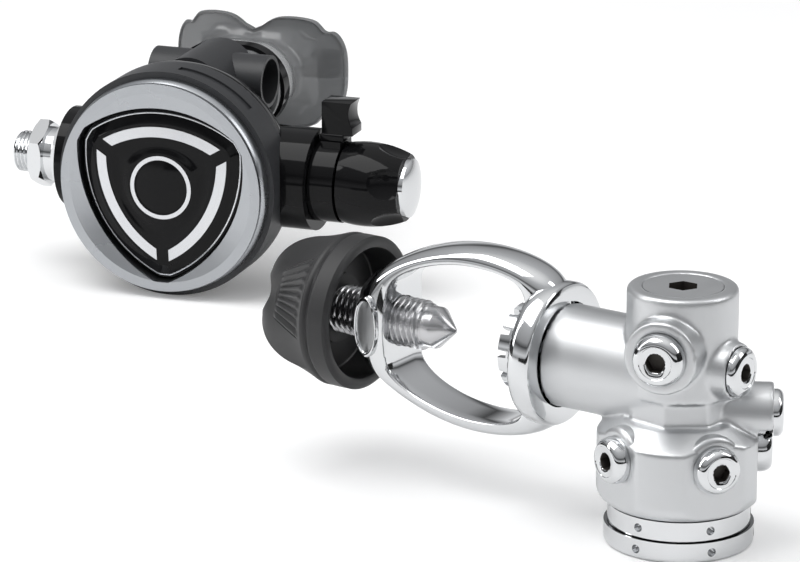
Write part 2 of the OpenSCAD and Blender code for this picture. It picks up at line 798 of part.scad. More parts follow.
module end_cap() {
    hole = 1.3;
    color("#dddfe1") difference() {
        rotate_extrude() {
            square([cap_r - 1.2, cap_h]);
            translate([0, 1.2]) square([cap_r, cap_h - 1.2]);
            translate([cap_r - 1.2, 1.2]) circle(r = 1.2);
        }
        translate([0, 0, 2.4]) cylinder(r = 16.4 + fit_gap, h = cap_h);
        for (a = [0:60:359]) rotate([0, 0, a + 27]) translate([cap_r - 2.4, 0, cap_h / 2])
            rotate([0, 90, 0]) cylinder(r = hole, h = 4);
    }
}

module spring_adjuster() {
    color("#b7a46a") difference() {
        translate([0, 0, 2.7]) cylinder(r = adjuster_r, h = 3);
        translate([0, 0, 2]) cylinder(r = 4.6, h = 5, $fn = 6);
    }
}

module main_spring() {
    wire = 2.6;
    low = 5.7 + wire / 2 + 0.02;
    high = sleeve_top - 1.9 - wire / 2;
    color("#9a9da1") translate([0, 0, low]) coil(9.8, 9.8, wire, 3.5, high - low);
}

module thrust_plate() {
    color("#b7a46a") translate([0, 0, sleeve_top - 1.8]) cylinder(r = adjuster_r - 0.2, h = 1.7);
}

module main_diaphragm() {
    color("#33302c") translate([0, 0, diaphragm_z]) cylinder(r = sleeve_r - 0.1, h = diaphragm_t - 0.1);
}

module push_pin() {
    color("#c6c9cb") union() {
        translate([0, 0, chamber_z + 0.02]) cylinder(r = 7, h = 1.4);
        translate([0, 0, chamber_z + 1]) cylinder(r = 1.2, h = crown_z + 2.6 - chamber_z - 1);
    }
}

module valve_crown() {
    color("#c6c9cb") difference() {
        translate([0, 0, crown_z + 0.02]) cylinder(r = high_bore - fit_gap, h = 2);
        translate([0, 0, crown_z - 1]) cylinder(r = 2, h = 6);
    }
}

module high_poppet() {
    color("#8d7a45") difference() {
        union() {
            translate([0, 0, crown_z + 2.1]) cylinder(r = 3.4, h = 7);
            translate([0, 0, crown_z + 9]) cylinder(r = 1.8, h = 10);
        }
        translate([0, 0, crown_z + 2]) cylinder(r = 1.2 + fit_gap, h = 1.7);
    }
}

module high_spring() {
    color("#a5a8ac") translate([0, 0, crown_z + 9.7]) coil(3, 3, 0.8, 6, high_top - crown_z - 10.8);
}

// ---- First stage: yoke and clamp screw -----------------------------------

// Outline of the yoke seen from its side: [distance along the axis, height]
module yoke_outline() {
    intersection() {
        intersection_for(side = [-1, 1]) translate([lens_x, side * lens_drop]) circle(r = lens_r);
        translate([arm_end + 0.1, -40]) square([yoke_end - arm_end - 0.1, 80]);
    }
}

module yoke_window() {
    corner = 9;
    high = lens_half - bar_t;
    intersection() {
        intersection_for(side = [-1, 1]) translate([lens_x, side * lens_drop]) circle(r = lens_r - bar_t);
        union() {
            for (at = [window_at + corner, window_end - corner], side = [-1, 1])
                translate([at, side * (high - corner)]) circle(r = corner);
            translate([window_at, corner - high]) square([window_l, 2 * (high - corner)]);
            translate([window_at + corner, -high]) square([window_l - 2 * corner, 2 * high]);
        }
    }
}

module yoke() {
    color("#e2e4e6") difference() {
        union() {
            intersection() {
                translate([0, yoke_depth / 2, yoke_z]) rotate([90, 0, 0])
                    linear_extrude(yoke_depth) yoke_outline();
                // crowned all round, as the outline turned about the axis
                on_yoke() rotate_extrude() intersection() {
                    rotate(90) mirror([0, 1]) yoke_outline();
                    square([60, 200]);
                }
            }
            on_yoke() translate([0, 0, arm_end + 0.1]) cylinder(r = 21.3, h = boss_l * 0.62);
            on_yoke() translate([0, 0, window_end + 3]) cylinder(r = 11.6, h = nut_l - 3);
        }
        translate([0, 40, yoke_z]) rotate([90, 0, 0]) linear_extrude(80) yoke_window();
        on_yoke() translate([0, 0, arm_end - 1]) cylinder(r = retainer_r + 0.1, h = boss_l + 6);
        on_yoke() translate([0, 0, window_end - 6]) cylinder(r = screw_r + fit_gap, h = nut_l + 8);
    }
}

module yoke_retainer() {
    slots = 6;
    color("#cfd2d4") on_yoke() difference() {
        union() {
            translate([0, 0, arm_end - 10]) cylinder(r = retainer_r - 1 - fit_gap, h = 12);
            translate([0, 0, arm_end + 0.2]) cylinder(r = retainer_r, h = boss_l);
            translate([0, 0, window_at + 0.1]) cylinder(r = retainer_head_r, h = retainer_head);
        }
        translate([0, 0, arm_end - 11]) cylinder(r = 3, h = 30);
        translate([0, 0, window_at - 8]) cylinder(r = inlet_bore, h = 20);
        // face groove for the seal and slots for a spanner
        translate([0, 0, window_at + retainer_head - 1.4]) tube(8.6, 6.6, 0, 3);
        for (i = [0:slots - 1]) rotate([0, 0, 60 * i])
            translate([retainer_head_r - 2.6, -1.6, window_at + 0.9]) cube([4, 3.2, 4]);
    }
}

module inlet_filter() {
    color("#b08d57") on_yoke() translate([0, 0, window_at - 7.9])
        cylinder(r1 = inlet_bore - 0.1, r2 = 3.6, h = 6.4);
}

module filter_clip() {
    color("#9fa2a6") on_yoke() translate([0, 0, window_at - 1.4]) difference() {
        tube(inlet_bore - 0.03, inlet_bore - 1.3, 0, 0.8);
        translate([0, -1, -1]) cube([10, 2, 3]);
    }
}

module tank_oring() {
    color("#0f1011") on_yoke() translate([0, 0, window_at + retainer_head - 0.6]) rotate_extrude()
        translate([7.6, 0]) circle(r = 0.8);
}

module yoke_screw() {
    cone_l = 6;
    color("#c7cacd") on_yoke() union() {
        translate([0, 0, tip_x]) cylinder(r1 = 0.6, r2 = screw_r - 1.2, h = cone_l);
        translate([0, 0, tip_x + cone_l]) cylinder(r = screw_r - 1.2, h = 3.2);
        translate([0, 0, tip_x + cone_l + 3]) cylinder(r = screw_r, h = hub_at - 0.5 - tip_x - cone_l - 3);
        translate([0, 0, hub_at - 0.6]) cylinder(r = screw_r - 1.6, h = hub_end - hub_at - 2);
    }
}

module knob_insert() {
    color("#b9bcc0") on_yoke() tube(hub_r, screw_r - 1.6 + fit_gap, hub_at, hub_end);
}

module yoke_knob() {
    rim = 3.8;
    scoop_r = 22;
    side_r = 42;
    color("#27282a") on_yoke() difference() {
        translate([0, 0, grip_at]) rotate_extrude() difference() {
            intersection() {
                square([grip_r, grip_l]);
                translate([grip_r - side_r, 7]) circle(r = side_r);
            }
            // notched outer end
            translate([0, grip_l + 20]) circle(r = 21.5);
        }
        // deep skirt that passes over the yoke's end
        translate([0, 0, grip_at - 1]) cylinder(r = grip_r - rim, h = hub_at + 2 - grip_at);
        translate([0, 0, grip_at]) cylinder(r = hub_r, h = hub_end - grip_at);
        for (i = [0:grip_scoops - 1]) rotate([0, 0, 360 * i / grip_scoops + 30])
            translate([grip_r + scoop_r * 0.66, 0, grip_at + grip_l * 1.05]) sphere(r = scoop_r, $fn = 96);
    }
}

// ---- First stage: plugs --------------------------------------------------

module plug(bore, flange_r, dome, height, key) {
    // threaded shank, flange and domed head with a key socket
    difference() {
        union() {
            translate([0, 0, 0.6 - thread_depth]) cylinder(r = bore - fit_gap, h = thread_depth);
            intersection() {
                cylinder(r = flange_r, h = height);
                translate([0, 0, height - dome]) sphere(r = dome, $fn = 96);
            }
        }
        translate([0, 0, height - 3.6]) cylinder(r = key, h = 5, $fn = 6);
    }
}

module high_plugs() {
    color("#e4e6e8") {
        port(front_heading, high_z, front_reach + 0.05) plug(high_thread_r, 7.7, 12, 4.6, 2.9);
        port(180, rear_z, rear_reach + 0.05) plug(high_thread_r, 7.2, 14, 2.8, 2.6);
    }
}

module low_plugs() {
    color("#e4e6e8") {
        for (heading = lp_headings) port(heading, lp_z, flat_reach + 0.05) plug(lp_bore, 6.9, 10, 4.4, 2.6);
        port(stub_heading, stub_z, stub_reach + 0.05) plug(lp_bore, 6.9, 12, 3, 2.6);
    }
}

module plug_orings() {
    wire = 0.55;
    color("#0f1011") {
        for (heading = lp_headings) port(heading, lp_z, flat_reach - 0.6) rotate_extrude()
            translate([lp_bore + 0.8, 0]) circle(r = wire);
        port(stub_heading, stub_z, stub_reach - 0.6) rotate_extrude() translate([lp_bore + 0.8, 0]) circle(r = wire);
        for (at = [[front_heading, high_z, front_reach], [180, rear_z, rear_reach]])
            port(at[0], at[1], at[2] - 0.6) rotate_extrude() translate([high_thread_r + 0.8, 0]) circle(r = wire);
    }
}

second_stage() housing();
second_stage() cover_ring();
second_stage() purge_button();
second_stage() purge_inlays();
second_stage() purge_spring();
second_stage() diaphragm_retainer();
second_stage() diaphragm();
second_stage() diaphragm_plate();
second_stage() demand_lever();
second_stage() valve_barrel();
second_stage() inlet_fitting();
second_stage() inlet_locknut();
second_stage() inlet_oring();
second_stage() poppet();
second_stage() valve_spring();
second_stage() spring_seat();
second_stage() knob_shaft();
second_stage() adjusting_knob();
second_stage() knob_cap();
second_stage() venturi_lever();
second_stage() venturi_vane();
second_stage() exhaust_tee();
second_stage() exhaust_valve();
second_stage() mouthpiece();
second_stage() mouthpiece_tie();
first_stage() regulator_body();
first_stage() turret_plug();
first_stage() diaphragm_clamp();
first_stage() end_cap();
first_stage() spring_adjuster();
first_stage() main_spring();
first_stage() thrust_plate();
first_stage() main_diaphragm();
first_stage() push_pin();
first_stage() valve_crown();
first_stage() high_poppet();
first_stage() high_spring();
first_stage() yoke();
first_stage() yoke_retainer();
first_stage() inlet_filter();
first_stage() filter_clip();
first_stage() tank_oring();
first_stage() yoke_screw();
first_stage() knob_insert();
first_stage() yoke_knob();
first_stage() high_plugs();
first_stage() low_plugs();
first_stage() plug_orings();
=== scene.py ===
import bpy
import json
import math
from mathutils import Matrix, Vector

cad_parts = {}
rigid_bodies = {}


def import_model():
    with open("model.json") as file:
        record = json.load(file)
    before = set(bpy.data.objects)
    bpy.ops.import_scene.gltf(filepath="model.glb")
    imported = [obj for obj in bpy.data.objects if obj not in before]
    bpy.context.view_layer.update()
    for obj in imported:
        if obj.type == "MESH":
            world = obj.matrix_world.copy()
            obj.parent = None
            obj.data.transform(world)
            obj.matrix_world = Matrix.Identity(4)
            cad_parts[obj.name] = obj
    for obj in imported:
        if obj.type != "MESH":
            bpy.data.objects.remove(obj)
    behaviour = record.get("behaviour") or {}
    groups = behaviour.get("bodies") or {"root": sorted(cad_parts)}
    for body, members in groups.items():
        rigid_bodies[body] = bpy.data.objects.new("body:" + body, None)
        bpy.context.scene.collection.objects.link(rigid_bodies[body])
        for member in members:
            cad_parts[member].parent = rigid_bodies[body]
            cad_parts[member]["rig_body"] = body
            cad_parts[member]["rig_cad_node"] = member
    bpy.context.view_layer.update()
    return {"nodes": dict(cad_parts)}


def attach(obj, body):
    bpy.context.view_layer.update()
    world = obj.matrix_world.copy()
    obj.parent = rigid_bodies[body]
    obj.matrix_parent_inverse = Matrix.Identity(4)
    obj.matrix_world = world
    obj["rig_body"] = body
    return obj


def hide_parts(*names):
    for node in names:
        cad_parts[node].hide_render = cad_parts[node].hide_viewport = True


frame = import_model()

# ---- The table top and the studio it is shown in --------------------------------------------------------
# A pale sheet that runs into the white behind it, three soft lamps, and a long lens in front.
# Black cards that only mirrors see draw dark lines along polished curves.
# None of it belongs to the regulator.
sheet_size, sheet_shade, sheet_glow = 6.0, 0.92, 0.14
view_centre = Vector((-0.1523, 0.1881, 0.0078))
card_shade = 0.004
room_shades = ((0.0, 0.30), (0.10, 0.10), (0.30, 0.06), (0.42, 0.34), (0.75, 0.55), (1.0, 0.75))
camera_azimuth = math.radians(19.6)
camera_height_angle = math.radians(17.0)
camera_distance, camera_reach = 1.5, 20
frame_width = 0.270


def only(*pieces):
    """Selects these pieces and nothing else. The first one becomes the active piece."""
    bpy.ops.object.select_all(action="DESELECT")
    for piece in pieces:
        piece.select_set(True)
    if pieces:
        bpy.context.view_layer.objects.active = pieces[0]


only()
bpy.ops.mesh.primitive_plane_add(size=sheet_size, location=(0.0, 0.0, 0.0))
table_top = bpy.context.object
table_top.name = "table_top"
pale_sheet = bpy.data.materials.new("pale_sheet")
pale_sheet.use_nodes = True
sheet_nodes, sheet_links = pale_sheet.node_tree.nodes, pale_sheet.node_tree.links
sheet_shader = sheet_nodes["Principled BSDF"]
sheet_shader.inputs["Base Color"].default_value = (sheet_shade, sheet_shade, sheet_shade, 1)
sheet_shader.inputs["Roughness"].default_value = 0.7
sheet_shader.inputs["Specular IOR Level"].default_value = 0.2
sheet_shader.inputs["Emission Color"].default_value = (1, 1, 1, 1)
glow = sheet_nodes.new("ShaderNodeMath")
glow.operation = "MULTIPLY"
glow.inputs[1].default_value = sheet_glow
sheet_ray = sheet_nodes.new("ShaderNodeLightPath")
sheet_links.new(sheet_ray.outputs["Is Camera Ray"], glow.inputs[0])
sheet_links.new(glow.outputs[0], sheet_shader.inputs["Emission Strength"])
table_top.data.materials.append(pale_sheet)

world = bpy.data.worlds.new("studio")
bpy.context.scene.world = world
world.use_nodes = True
world_nodes, world_links = world.node_tree.nodes, world.node_tree.links
room_light = world_nodes["Background"]
room_light.inputs["Strength"].default_value = 1.0
sky_place = world_nodes.new("ShaderNodeTexCoord")
sky_height = world_nodes.new("ShaderNodeSeparateXYZ")
sky_shades = world_nodes.new("ShaderNodeValToRGB")
for position, shade in room_shades:
    if position in (0.0, 1.0):
        stop = sky_shades.color_ramp.elements[int(position)]
    else:
        stop = sky_shades.color_ramp.elements.new(position)
    stop.color = (shade, shade * 1.01, shade * 1.03, 1)
world_links.new(sky_place.outputs["Generated"], sky_height.inputs["Vector"])
world_links.new(sky_height.outputs["Z"], sky_shades.inputs["Fac"])
world_links.new(sky_shades.outputs["Color"], room_light.inputs["Color"])
backdrop = world_nodes.new("ShaderNodeBackground")
backdrop.inputs["Color"].default_value = (1, 1, 1, 1)
backdrop.inputs["Strength"].default_value = 1.0
rays = world_nodes.new("ShaderNodeLightPath")
choose = world_nodes.new("ShaderNodeMixShader")
world_links.new(rays.outputs["Is Camera Ray"], choose.inputs["Fac"])
world_links.new(room_light.outputs["Background"], choose.inputs[1])
world_links.new(backdrop.outputs["Background"], choose.inputs[2])
world_links.new(choose.outputs["Shader"], world_nodes["World Output"].inputs["Surface"])


def soft_lamp(name, place, size, power):
    """A soft rectangular lamp at place, turned to the middle of the view."""
    lamp_data = bpy.data.lights.new(name, "AREA")
    lamp_data.shape = "RECTANGLE"
    lamp_data.size, lamp_data.size_y = size
    lamp_data.energy = power
    lamp = bpy.data.objects.new(name, lamp_data)
    bpy.context.scene.collection.objects.link(lamp)
    lamp.location = place
    lamp.rotation_euler = (view_centre - Vector(place)).to_track_quat("-Z", "Y").to_euler()


soft_lamp("softbox_over", (-0.45, -0.15, 1.05), (0.9, 0.7), 6.5)
soft_lamp("strip_left", (-1.05, -0.35, 0.45), (0.25, 1.0), 3.2)
soft_lamp("strip_right", (0.75, 0.25, 0.55), (0.3, 0.9), 2.6)


def black_card(name, place, heading, size):
    """A matt black card that stands upright, turned by heading degrees, and that only mirrors see."""
    only()
    bpy.ops.mesh.primitive_plane_add(size=1, location=(0, 0, 0))
    card = bpy.context.object
    card.name = name
    turn = Matrix.Rotation(math.radians(heading), 3, "Z") @ Matrix.Rotation(math.radians(90), 3, "X")
    card.data.transform(Matrix.LocRotScale(Vector(place), turn.to_quaternion(), Vector((*size, 1))))
    card.visible_camera = card.visible_diffuse = card.visible_shadow = False
    card_black = bpy.data.materials.new(name)
    card_black.use_nodes = True
    card_shader = card_black.node_tree.nodes["Principled BSDF"]
    card_shader.inputs["Base Color"].default_value = (card_shade, card_shade, card_shade, 1)
    card_shader.inputs["Roughness"].default_value = 1.0
    card.data.materials.append(card_black)


black_card("card_front", (0.10, -0.42, 0.035), 20, (1.3, 0.07))
black_card("card_left", (-0.75, 0.05, 0.10), -80, (0.9, 0.16))
black_card("card_right", (0.40, 0.05, 0.12), 95, (0.5, 0.20))

towards_camera = Vector((math.sin(camera_azimuth) * math.cos(camera_height_angle),
                         -math.cos(camera_azimuth) * math.cos(camera_height_angle),
                         math.sin(camera_height_angle)))
camera_data = bpy.data.cameras.new("long_lens")
camera_data.lens = camera_data.sensor_width * camera_distance / frame_width
camera_data.clip_end = camera_reach
camera = bpy.data.objects.new("long_lens", camera_data)
bpy.context.scene.collection.objects.link(camera)
camera.location = view_centre + towards_camera * camera_distance
camera.rotation_euler = (-towards_camera).to_track_quat("-Z", "Y").to_euler()
bpy.context.scene.camera = camera
bpy.context.scene.view_settings.view_transform = "Standard"

# ---- Second-stage case ----------------------------------------------------------------------------------
# One moulding of black nylon: a round chamber with a neck at each side for the valve, one behind for the
# mouthpiece and a seat for the exhaust valve. Its front rim is satin, and the rest is gloss.
case_x, case_y, case_z = -0.230, 0.165, 0.039
satin_radius, satin_depth = 0.0391, 0.0215


def surface_group():
    """Fine grain, broad changes of sheen and a second shade, for moulded, plated and cast surfaces."""
    group = bpy.data.node_groups.new("moulded_surface", "ShaderNodeTree")
    sockets = group.interface
    sockets.new_socket("Place", in_out="INPUT", socket_type="NodeSocketVector")
    for name, value in (("Grain size", 900.0), ("Patch size", 35.0), ("Rough low", 0.2), ("Rough high", 0.3)):
        sockets.new_socket(name, in_out="INPUT", socket_type="NodeSocketFloat").default_value = value
    for name in ("Shade", "Other shade"):
        sockets.new_socket(name, in_out="INPUT", socket_type="NodeSocketColor")
    sockets.new_socket("Colour", in_out="OUTPUT", socket_type="NodeSocketColor")
    sockets.new_socket("Roughness", in_out="OUTPUT", socket_type="NodeSocketFloat")
    sockets.new_socket("Height", in_out="OUTPUT", socket_type="NodeSocketFloat")
    made, join = group.nodes, group.links
    given = made.new("NodeGroupInput")
    given_out = made.new("NodeGroupOutput")
    grain = made.new("ShaderNodeTexNoise")
    grain.inputs["Detail"].default_value = 3.0
    patch = made.new("ShaderNodeTexNoise")
    patch.inputs["Detail"].default_value = 4.0
    patch.inputs["Roughness"].default_value = 0.6
    join.new(given.outputs["Place"], grain.inputs["Vector"])
    join.new(given.outputs["Place"], patch.inputs["Vector"])
    join.new(given.outputs["Grain size"], grain.inputs["Scale"])
    join.new(given.outputs["Patch size"], patch.inputs["Scale"])
    spread = made.new("ShaderNodeMapRange")
    spread.inputs["From Min"].default_value = 0.3
    spread.inputs["From Max"].default_value = 0.7
    join.new(patch.outputs["Fac"], spread.inputs["Value"])
    join.new(given.outputs["Rough low"], spread.inputs["To Min"])
    join.new(given.outputs["Rough high"], spread.inputs["To Max"])
    blend = made.new("ShaderNodeMix")
    blend.data_type = "RGBA"
    join.new(patch.outputs["Fac"], blend.inputs["Factor"])
    join.new(given.outputs["Shade"], blend.inputs["A"])
    join.new(given.outputs["Other shade"], blend.inputs["B"])
    join.new(blend.outputs["Result"], given_out.inputs["Colour"])
    join.new(spread.outputs["Result"], given_out.inputs["Roughness"])
    join.new(grain.outputs["Fac"], given_out.inputs["Height"])
    return group


moulded_surface = surface_group()


def finish(name, shade, other, metal, rough, grain, patch, bump_mm, shine=0.5):
    """A material: two shades, metallic, (low, high) roughness, grain and patch scale, depth of the grain."""
    material = bpy.data.materials.new(name)
    material.use_nodes = True
    made, join = material.node_tree.nodes, material.node_tree.links
    shader = made["Principled BSDF"]
    place = made.new("ShaderNodeTexCoord")
    surface = made.new("ShaderNodeGroup")
    surface.node_tree = moulded_surface
    join.new(place.outputs["Object"], surface.inputs["Place"])
    surface.inputs["Grain size"].default_value = grain
    surface.inputs["Patch size"].default_value = patch
    surface.inputs["Rough low"].default_value = rough[0]
    surface.inputs["Rough high"].default_value = rough[1]
    surface.inputs["Shade"].default_value = (*shade, 1)
    surface.inputs["Other shade"].default_value = (*other, 1)
    bump = made.new("ShaderNodeBump")
    bump.inputs["Strength"].default_value = 1.0
    bump.inputs["Distance"].default_value = bump_mm / 1000
    join.new(surface.outputs["Height"], bump.inputs["Height"])
    join.new(surface.outputs["Colour"], shader.inputs["Base Color"])
    join.new(surface.outputs["Roughness"], shader.inputs["Roughness"])
    join.new(bump.outputs["Normal"], shader.inputs["Normal"])
    shader.inputs["Metallic"].default_value = metal
    shader.inputs["Specular IOR Level"].default_value = shine
    return material


def merged_copy(node, name, material):
    """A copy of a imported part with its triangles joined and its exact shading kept."""
    piece = frame["nodes"][node].copy()
    piece.data = frame["nodes"][node].data.copy()
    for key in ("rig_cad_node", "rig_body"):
        if key in piece:
            del piece[key]
    piece.parent = None
    piece.name = name
    bpy.context.scene.collection.objects.link(piece)
    only(piece)
    bpy.ops.object.mode_set(mode="EDIT")
    bpy.ops.mesh.select_all(action="SELECT")
    bpy.ops.mesh.remove_doubles(threshold=0.000002, use_sharp_edge_from_normals=True)
    bpy.ops.object.mode_set(mode="OBJECT")
    piece.data.materials.clear()
    piece.data.materials.append(material)
    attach(piece, frame["nodes"][node]["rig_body"])
    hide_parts(node)
    return piece


satin_black = finish("satin_black", (0.024, 0.025, 0.027), (0.034, 0.035, 0.038), metal=0,
                     rough=(0.36, 0.46), grain=2600, patch=30, bump_mm=0.010, shine=0.4)
gloss_black = finish("gloss_black", (0.004, 0.004, 0.0045), (0.006, 0.006, 0.0065), metal=0,
                     rough=(0.05, 0.09), grain=500, patch=22, bump_mm=0.0006, shine=0.16)
case = merged_copy("housing", "case", satin_black)
case.data.materials.append(gloss_black)
for face in case.data.polygons:
    x, y, z = face.center - Vector((case_x, case_y, case_z))
    if math.hypot(x, z) > satin_radius or y > satin_depth:
        face.material_index = 1

# ---- Cover ring -----------------------------------------------------------------------------------------
# A plated shell that snaps over the case's rim and holds the button in. It is satin outside, with a bevel
# down to the window.
satin_silver = finish("satin_silver", (0.40, 0.415, 0.435), (0.46, 0.475, 0.495), metal=1,
                      rough=(0.24, 0.31), grain=3600, patch=26, bump_mm=0.003)
merged_copy("cover_ring", "cover_ring", satin_silver)

# ---- Purge button ---------------------------------------------------------------------------------------
# Gloss black plastic with a disc in the middle, a dish round it and a raised border along the window's three
# arcs. Bright plated bars and a ring are set into it, and a fine silver line just inside its edge is a
# painted highlight of the edge's gloss. A finger presses it to purge.
arc_offset, arc_radius, corner_radius = 0.0196, 0.047, 0.0330
arc_middles = ((0, -arc_offset),
               (arc_offset * math.cos(math.radians(30)), arc_offset / 2),
               (-arc_offset * math.cos(math.radians(30)), arc_offset / 2))
crown_radius, crown_low = 0.260, 0.001
disc_radius, disc_rise, disc_hollow = 0.0092, 0.00018, 0.0006
dish_start, dish_inset, dish_depth = 0.0117, 0.0108, 0.0006
window_gap, slope_foot, slope_width, slope_rise = 0.0005, 0.0048, 0.0038, 0.0009
edge_width, edge_drop = 0.0009, 0.0008
front_depth, button_depth = 0.0061, 0.0065
highlight_inset, highlight_rise, highlight_radius = 0.0019, 0.00075, 0.00030
crease_angle = math.radians(38)

# Rows from the middle outwards and round the back. Each has a kind, and then a radius, an inset from the
# window, a share of the way or a depth.
button_rows = [("disc", r / 1000) for r in (0.01, 1, 2, 3, 4, 5, 6, 7, 8, 8.6, 9.0, 9.2)]
button_rows += [("step", r / 1000) for r in (9.22, 9.5, 11.2, 11.6)]
button_rows += [("dish", step / 10) for step in range(11)]
button_rows += [("border", q / 1000) for q in (10.0, 8.0, 6.3, 5.2, 4.9)]
button_rows += [("slope", q / 1000) for q in (4.8, 4.7, 4.4, 3.9, 3.3, 2.7, 2.1, 1.6, 1.2, 1.0)]
button_rows += [("round", step / 5) for step in range(6)]
button_rows += [("side", y / 1000) for y in (4.4, 5.4, 6.5)]
button_rows += [("back", r / 1000) for r in (20, 10, 0.01)]


def wrapped(name, along, around, place, material):
    """A grid rolled into a closed sleeve: place(u, turn) gives each point, u along it and turn round it."""
    only()
    bpy.ops.mesh.primitive_grid_add(x_subdivisions=along, y_subdivisions=around, size=2)
    piece = bpy.context.object
    piece.name = name
    for vertex in piece.data.vertices:
        vertex.co = place((vertex.co.x + 1) / 2, (vertex.co.y + 1) / 2)
    bpy.ops.object.mode_set(mode="EDIT")
    bpy.ops.mesh.select_all(action="SELECT")
    bpy.ops.mesh.remove_doubles(threshold=0.000003)
    bpy.ops.mesh.normals_make_consistent(inside=False)
    bpy.ops.object.mode_set(mode="OBJECT")
    bpy.ops.object.shade_smooth_by_angle(angle=crease_angle)
    piece.data.materials.append(material)
    return piece


def row_at(rows, u):
    """The row that a sleeve has at u (0 to 1) along it."""
    return rows[round(u * (len(rows) - 1))]


def trim(piece, point, normal, **sides):
    """Cuts a piece at a plane, and clears or fills as sides says."""
    only(piece)
    bpy.ops.object.mode_set(mode="EDIT")
    bpy.ops.mesh.select_all(action="SELECT")
    bpy.ops.mesh.bisect(plane_co=point, plane_no=normal, **sides)
    bpy.ops.object.mode_set(mode="OBJECT")


def window_reach(turn, inset):
    """How far the window's outline, drawn inset, lies from its middle: three long arcs and a circle."""
    c, s = math.cos(2 * math.pi * turn), math.sin(2 * math.pi * turn)
    reach = corner_radius - inset
    for x, z in arc_middles:
        along = c * x + s * z
        reach = min(reach, along + math.sqrt(along ** 2 - x * x - z * z + (arc_radius - inset) ** 2))
    return reach


def crown_height(r):
    """The button's front is a shallow ball: how far it lies behind the case's front plane at radius r."""
    return crown_low + crown_radius - math.sqrt(crown_radius ** 2 - r * r)


def on_button(turn, r, y):
    """A point at radius r and turn round the case's middle, y behind its front plane."""
    angle = 2 * math.pi * turn
    return (case_x + r * math.cos(angle), case_y + y, case_z + r * math.sin(angle))


def button_place(u, turn):
    kind, value = row_at(button_rows, u)
    if kind == "disc":
        return on_button(turn, value,
                         crown_height(value) + (disc_rise - disc_hollow * (1 - (value / disc_radius) ** 2)))
    if kind == "step":
        return on_button(turn, value, crown_height(value))
    if kind == "dish":
        r = dish_start + (window_reach(turn, dish_inset) - dish_start) * value
        return on_button(turn, r, crown_height(r) + dish_depth * math.sin(math.pi * value) ** 1.4)
    if kind == "border":
        r = window_reach(turn, window_gap + value)
        return on_button(turn, r, crown_height(r))
    if kind == "slope":
        r = window_reach(turn, window_gap + value)
        return on_button(turn, r, crown_height(r) + slope_rise * ((slope_foot - value) / slope_width) ** 0.85)
    if kind == "round":
        angle = math.pi / 2 * value
        r = window_reach(turn, window_gap + edge_width * (1 - math.sin(angle)))
        return on_button(turn, r, crown_height(r) + slope_rise + edge_drop * (1 - math.cos(angle)))
    if kind == "side":
        return on_button(turn, window_reach(turn, window_gap), value)
    return on_button(turn, value, button_depth)


def painted_highlight_place(u, turn):
    """A painted highlight: a fine silver line round the button just inside its edge, in place of its gloss.
    """
    around = 2 * math.pi * u
    r = window_reach(turn, highlight_inset + highlight_radius * math.cos(around))
    return on_button(turn, r, crown_height(r) + highlight_rise - highlight_radius * math.sin(around))


silver_trim = finish("silver_trim", (0.66, 0.67, 0.69), (0.72, 0.73, 0.75), metal=1,
                     rough=(0.18, 0.26), grain=3600, patch=30, bump_mm=0.002)
button_front = wrapped("button_front", len(button_rows) - 1, 360, button_place, gloss_black)
# Painted highlight: this thin silver line stands in for the gloss on the button's edge.
button_painted_highlight = wrapped("button_painted_highlight", 8, 360, painted_highlight_place, silver_trim)
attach(button_painted_highlight, "purge")
button = merged_copy("purge_button", "button", gloss_black)
trim(button, (0, case_y + front_depth, 0), (0, 1, 0), clear_inner=True)
only(button, button_front)
bpy.ops.object.join()
merged_copy("purge_inlays", "button_inlays", silver_trim)

# ---- Under the button -----------------------------------------------------------------------------------
# A steel spring holds the button out. Behind it a steel ring clamps the rubber diaphragm in the case, and
# the diaphragm's steel disc bears on the demand lever, which is bent from sheet.
steel = finish("steel", (0.55, 0.55, 0.56), (0.62, 0.62, 0.63), metal=1,
               rough=(0.2, 0.32), grain=2600, patch=60, bump_mm=0.003)
soft_black = finish("soft_black", (0.02, 0.02, 0.021), (0.028, 0.028, 0.029), metal=0,
                    rough=(0.5, 0.6), grain=1500, patch=50, bump_mm=0.006)
for node in ("purge_spring", "diaphragm_retainer", "diaphragm_plate", "demand_lever"):
    merged_copy(node, node + "_steel", steel)
merged_copy("diaphragm", "diaphragm_rubber", soft_black)

# ---- Valve barrel and lock nut --------------------------------------------------------------------------
# A plated brass tube runs through both side necks and holds the valve. A nut locks it against the case.
# Both are turned, and the nut is milled to a hexagon.
barrel_y = 0.194
chrome = finish("chrome", (0.68, 0.69, 0.70), (0.76, 0.77, 0.78), metal=1,
                rough=(0.05, 0.10), grain=700, patch=30, bump_mm=0.0006)
merged_copy("valve_barrel", "barrel", chrome)
merged_copy("inlet_locknut", "lock_nut", chrome)

# ---- Hose fitting ---------------------------------------------------------------------------------------
# Turned and plated brass, screwed into the barrel by its hexagon. The hose's thread is cut on the plain nose
# in front of that: 9/16 inch, 18 turns to the inch.
nose_end = -0.2871
thread_crest, thread_depth, thread_pitch = 0.00714, 0.00087, 0.001411
thread_start, thread_end, thread_bore = -0.0640, -0.0568, 0.0043
thread_chamfer, thread_runout, thread_rows = 0.0006, 0.0009, 74


def thread_radius(x, turn, crest, depth, pitch):
    """The radius of a 60 degree thread with small flats, at x along it and turn (0 to 1) round it."""
    phase = (x / pitch - turn) % 1.0
    slope = abs(phase - 0.5) * 2
    return crest - depth * min(1.0, max(0.0, (slope - 0.125) / 0.625))


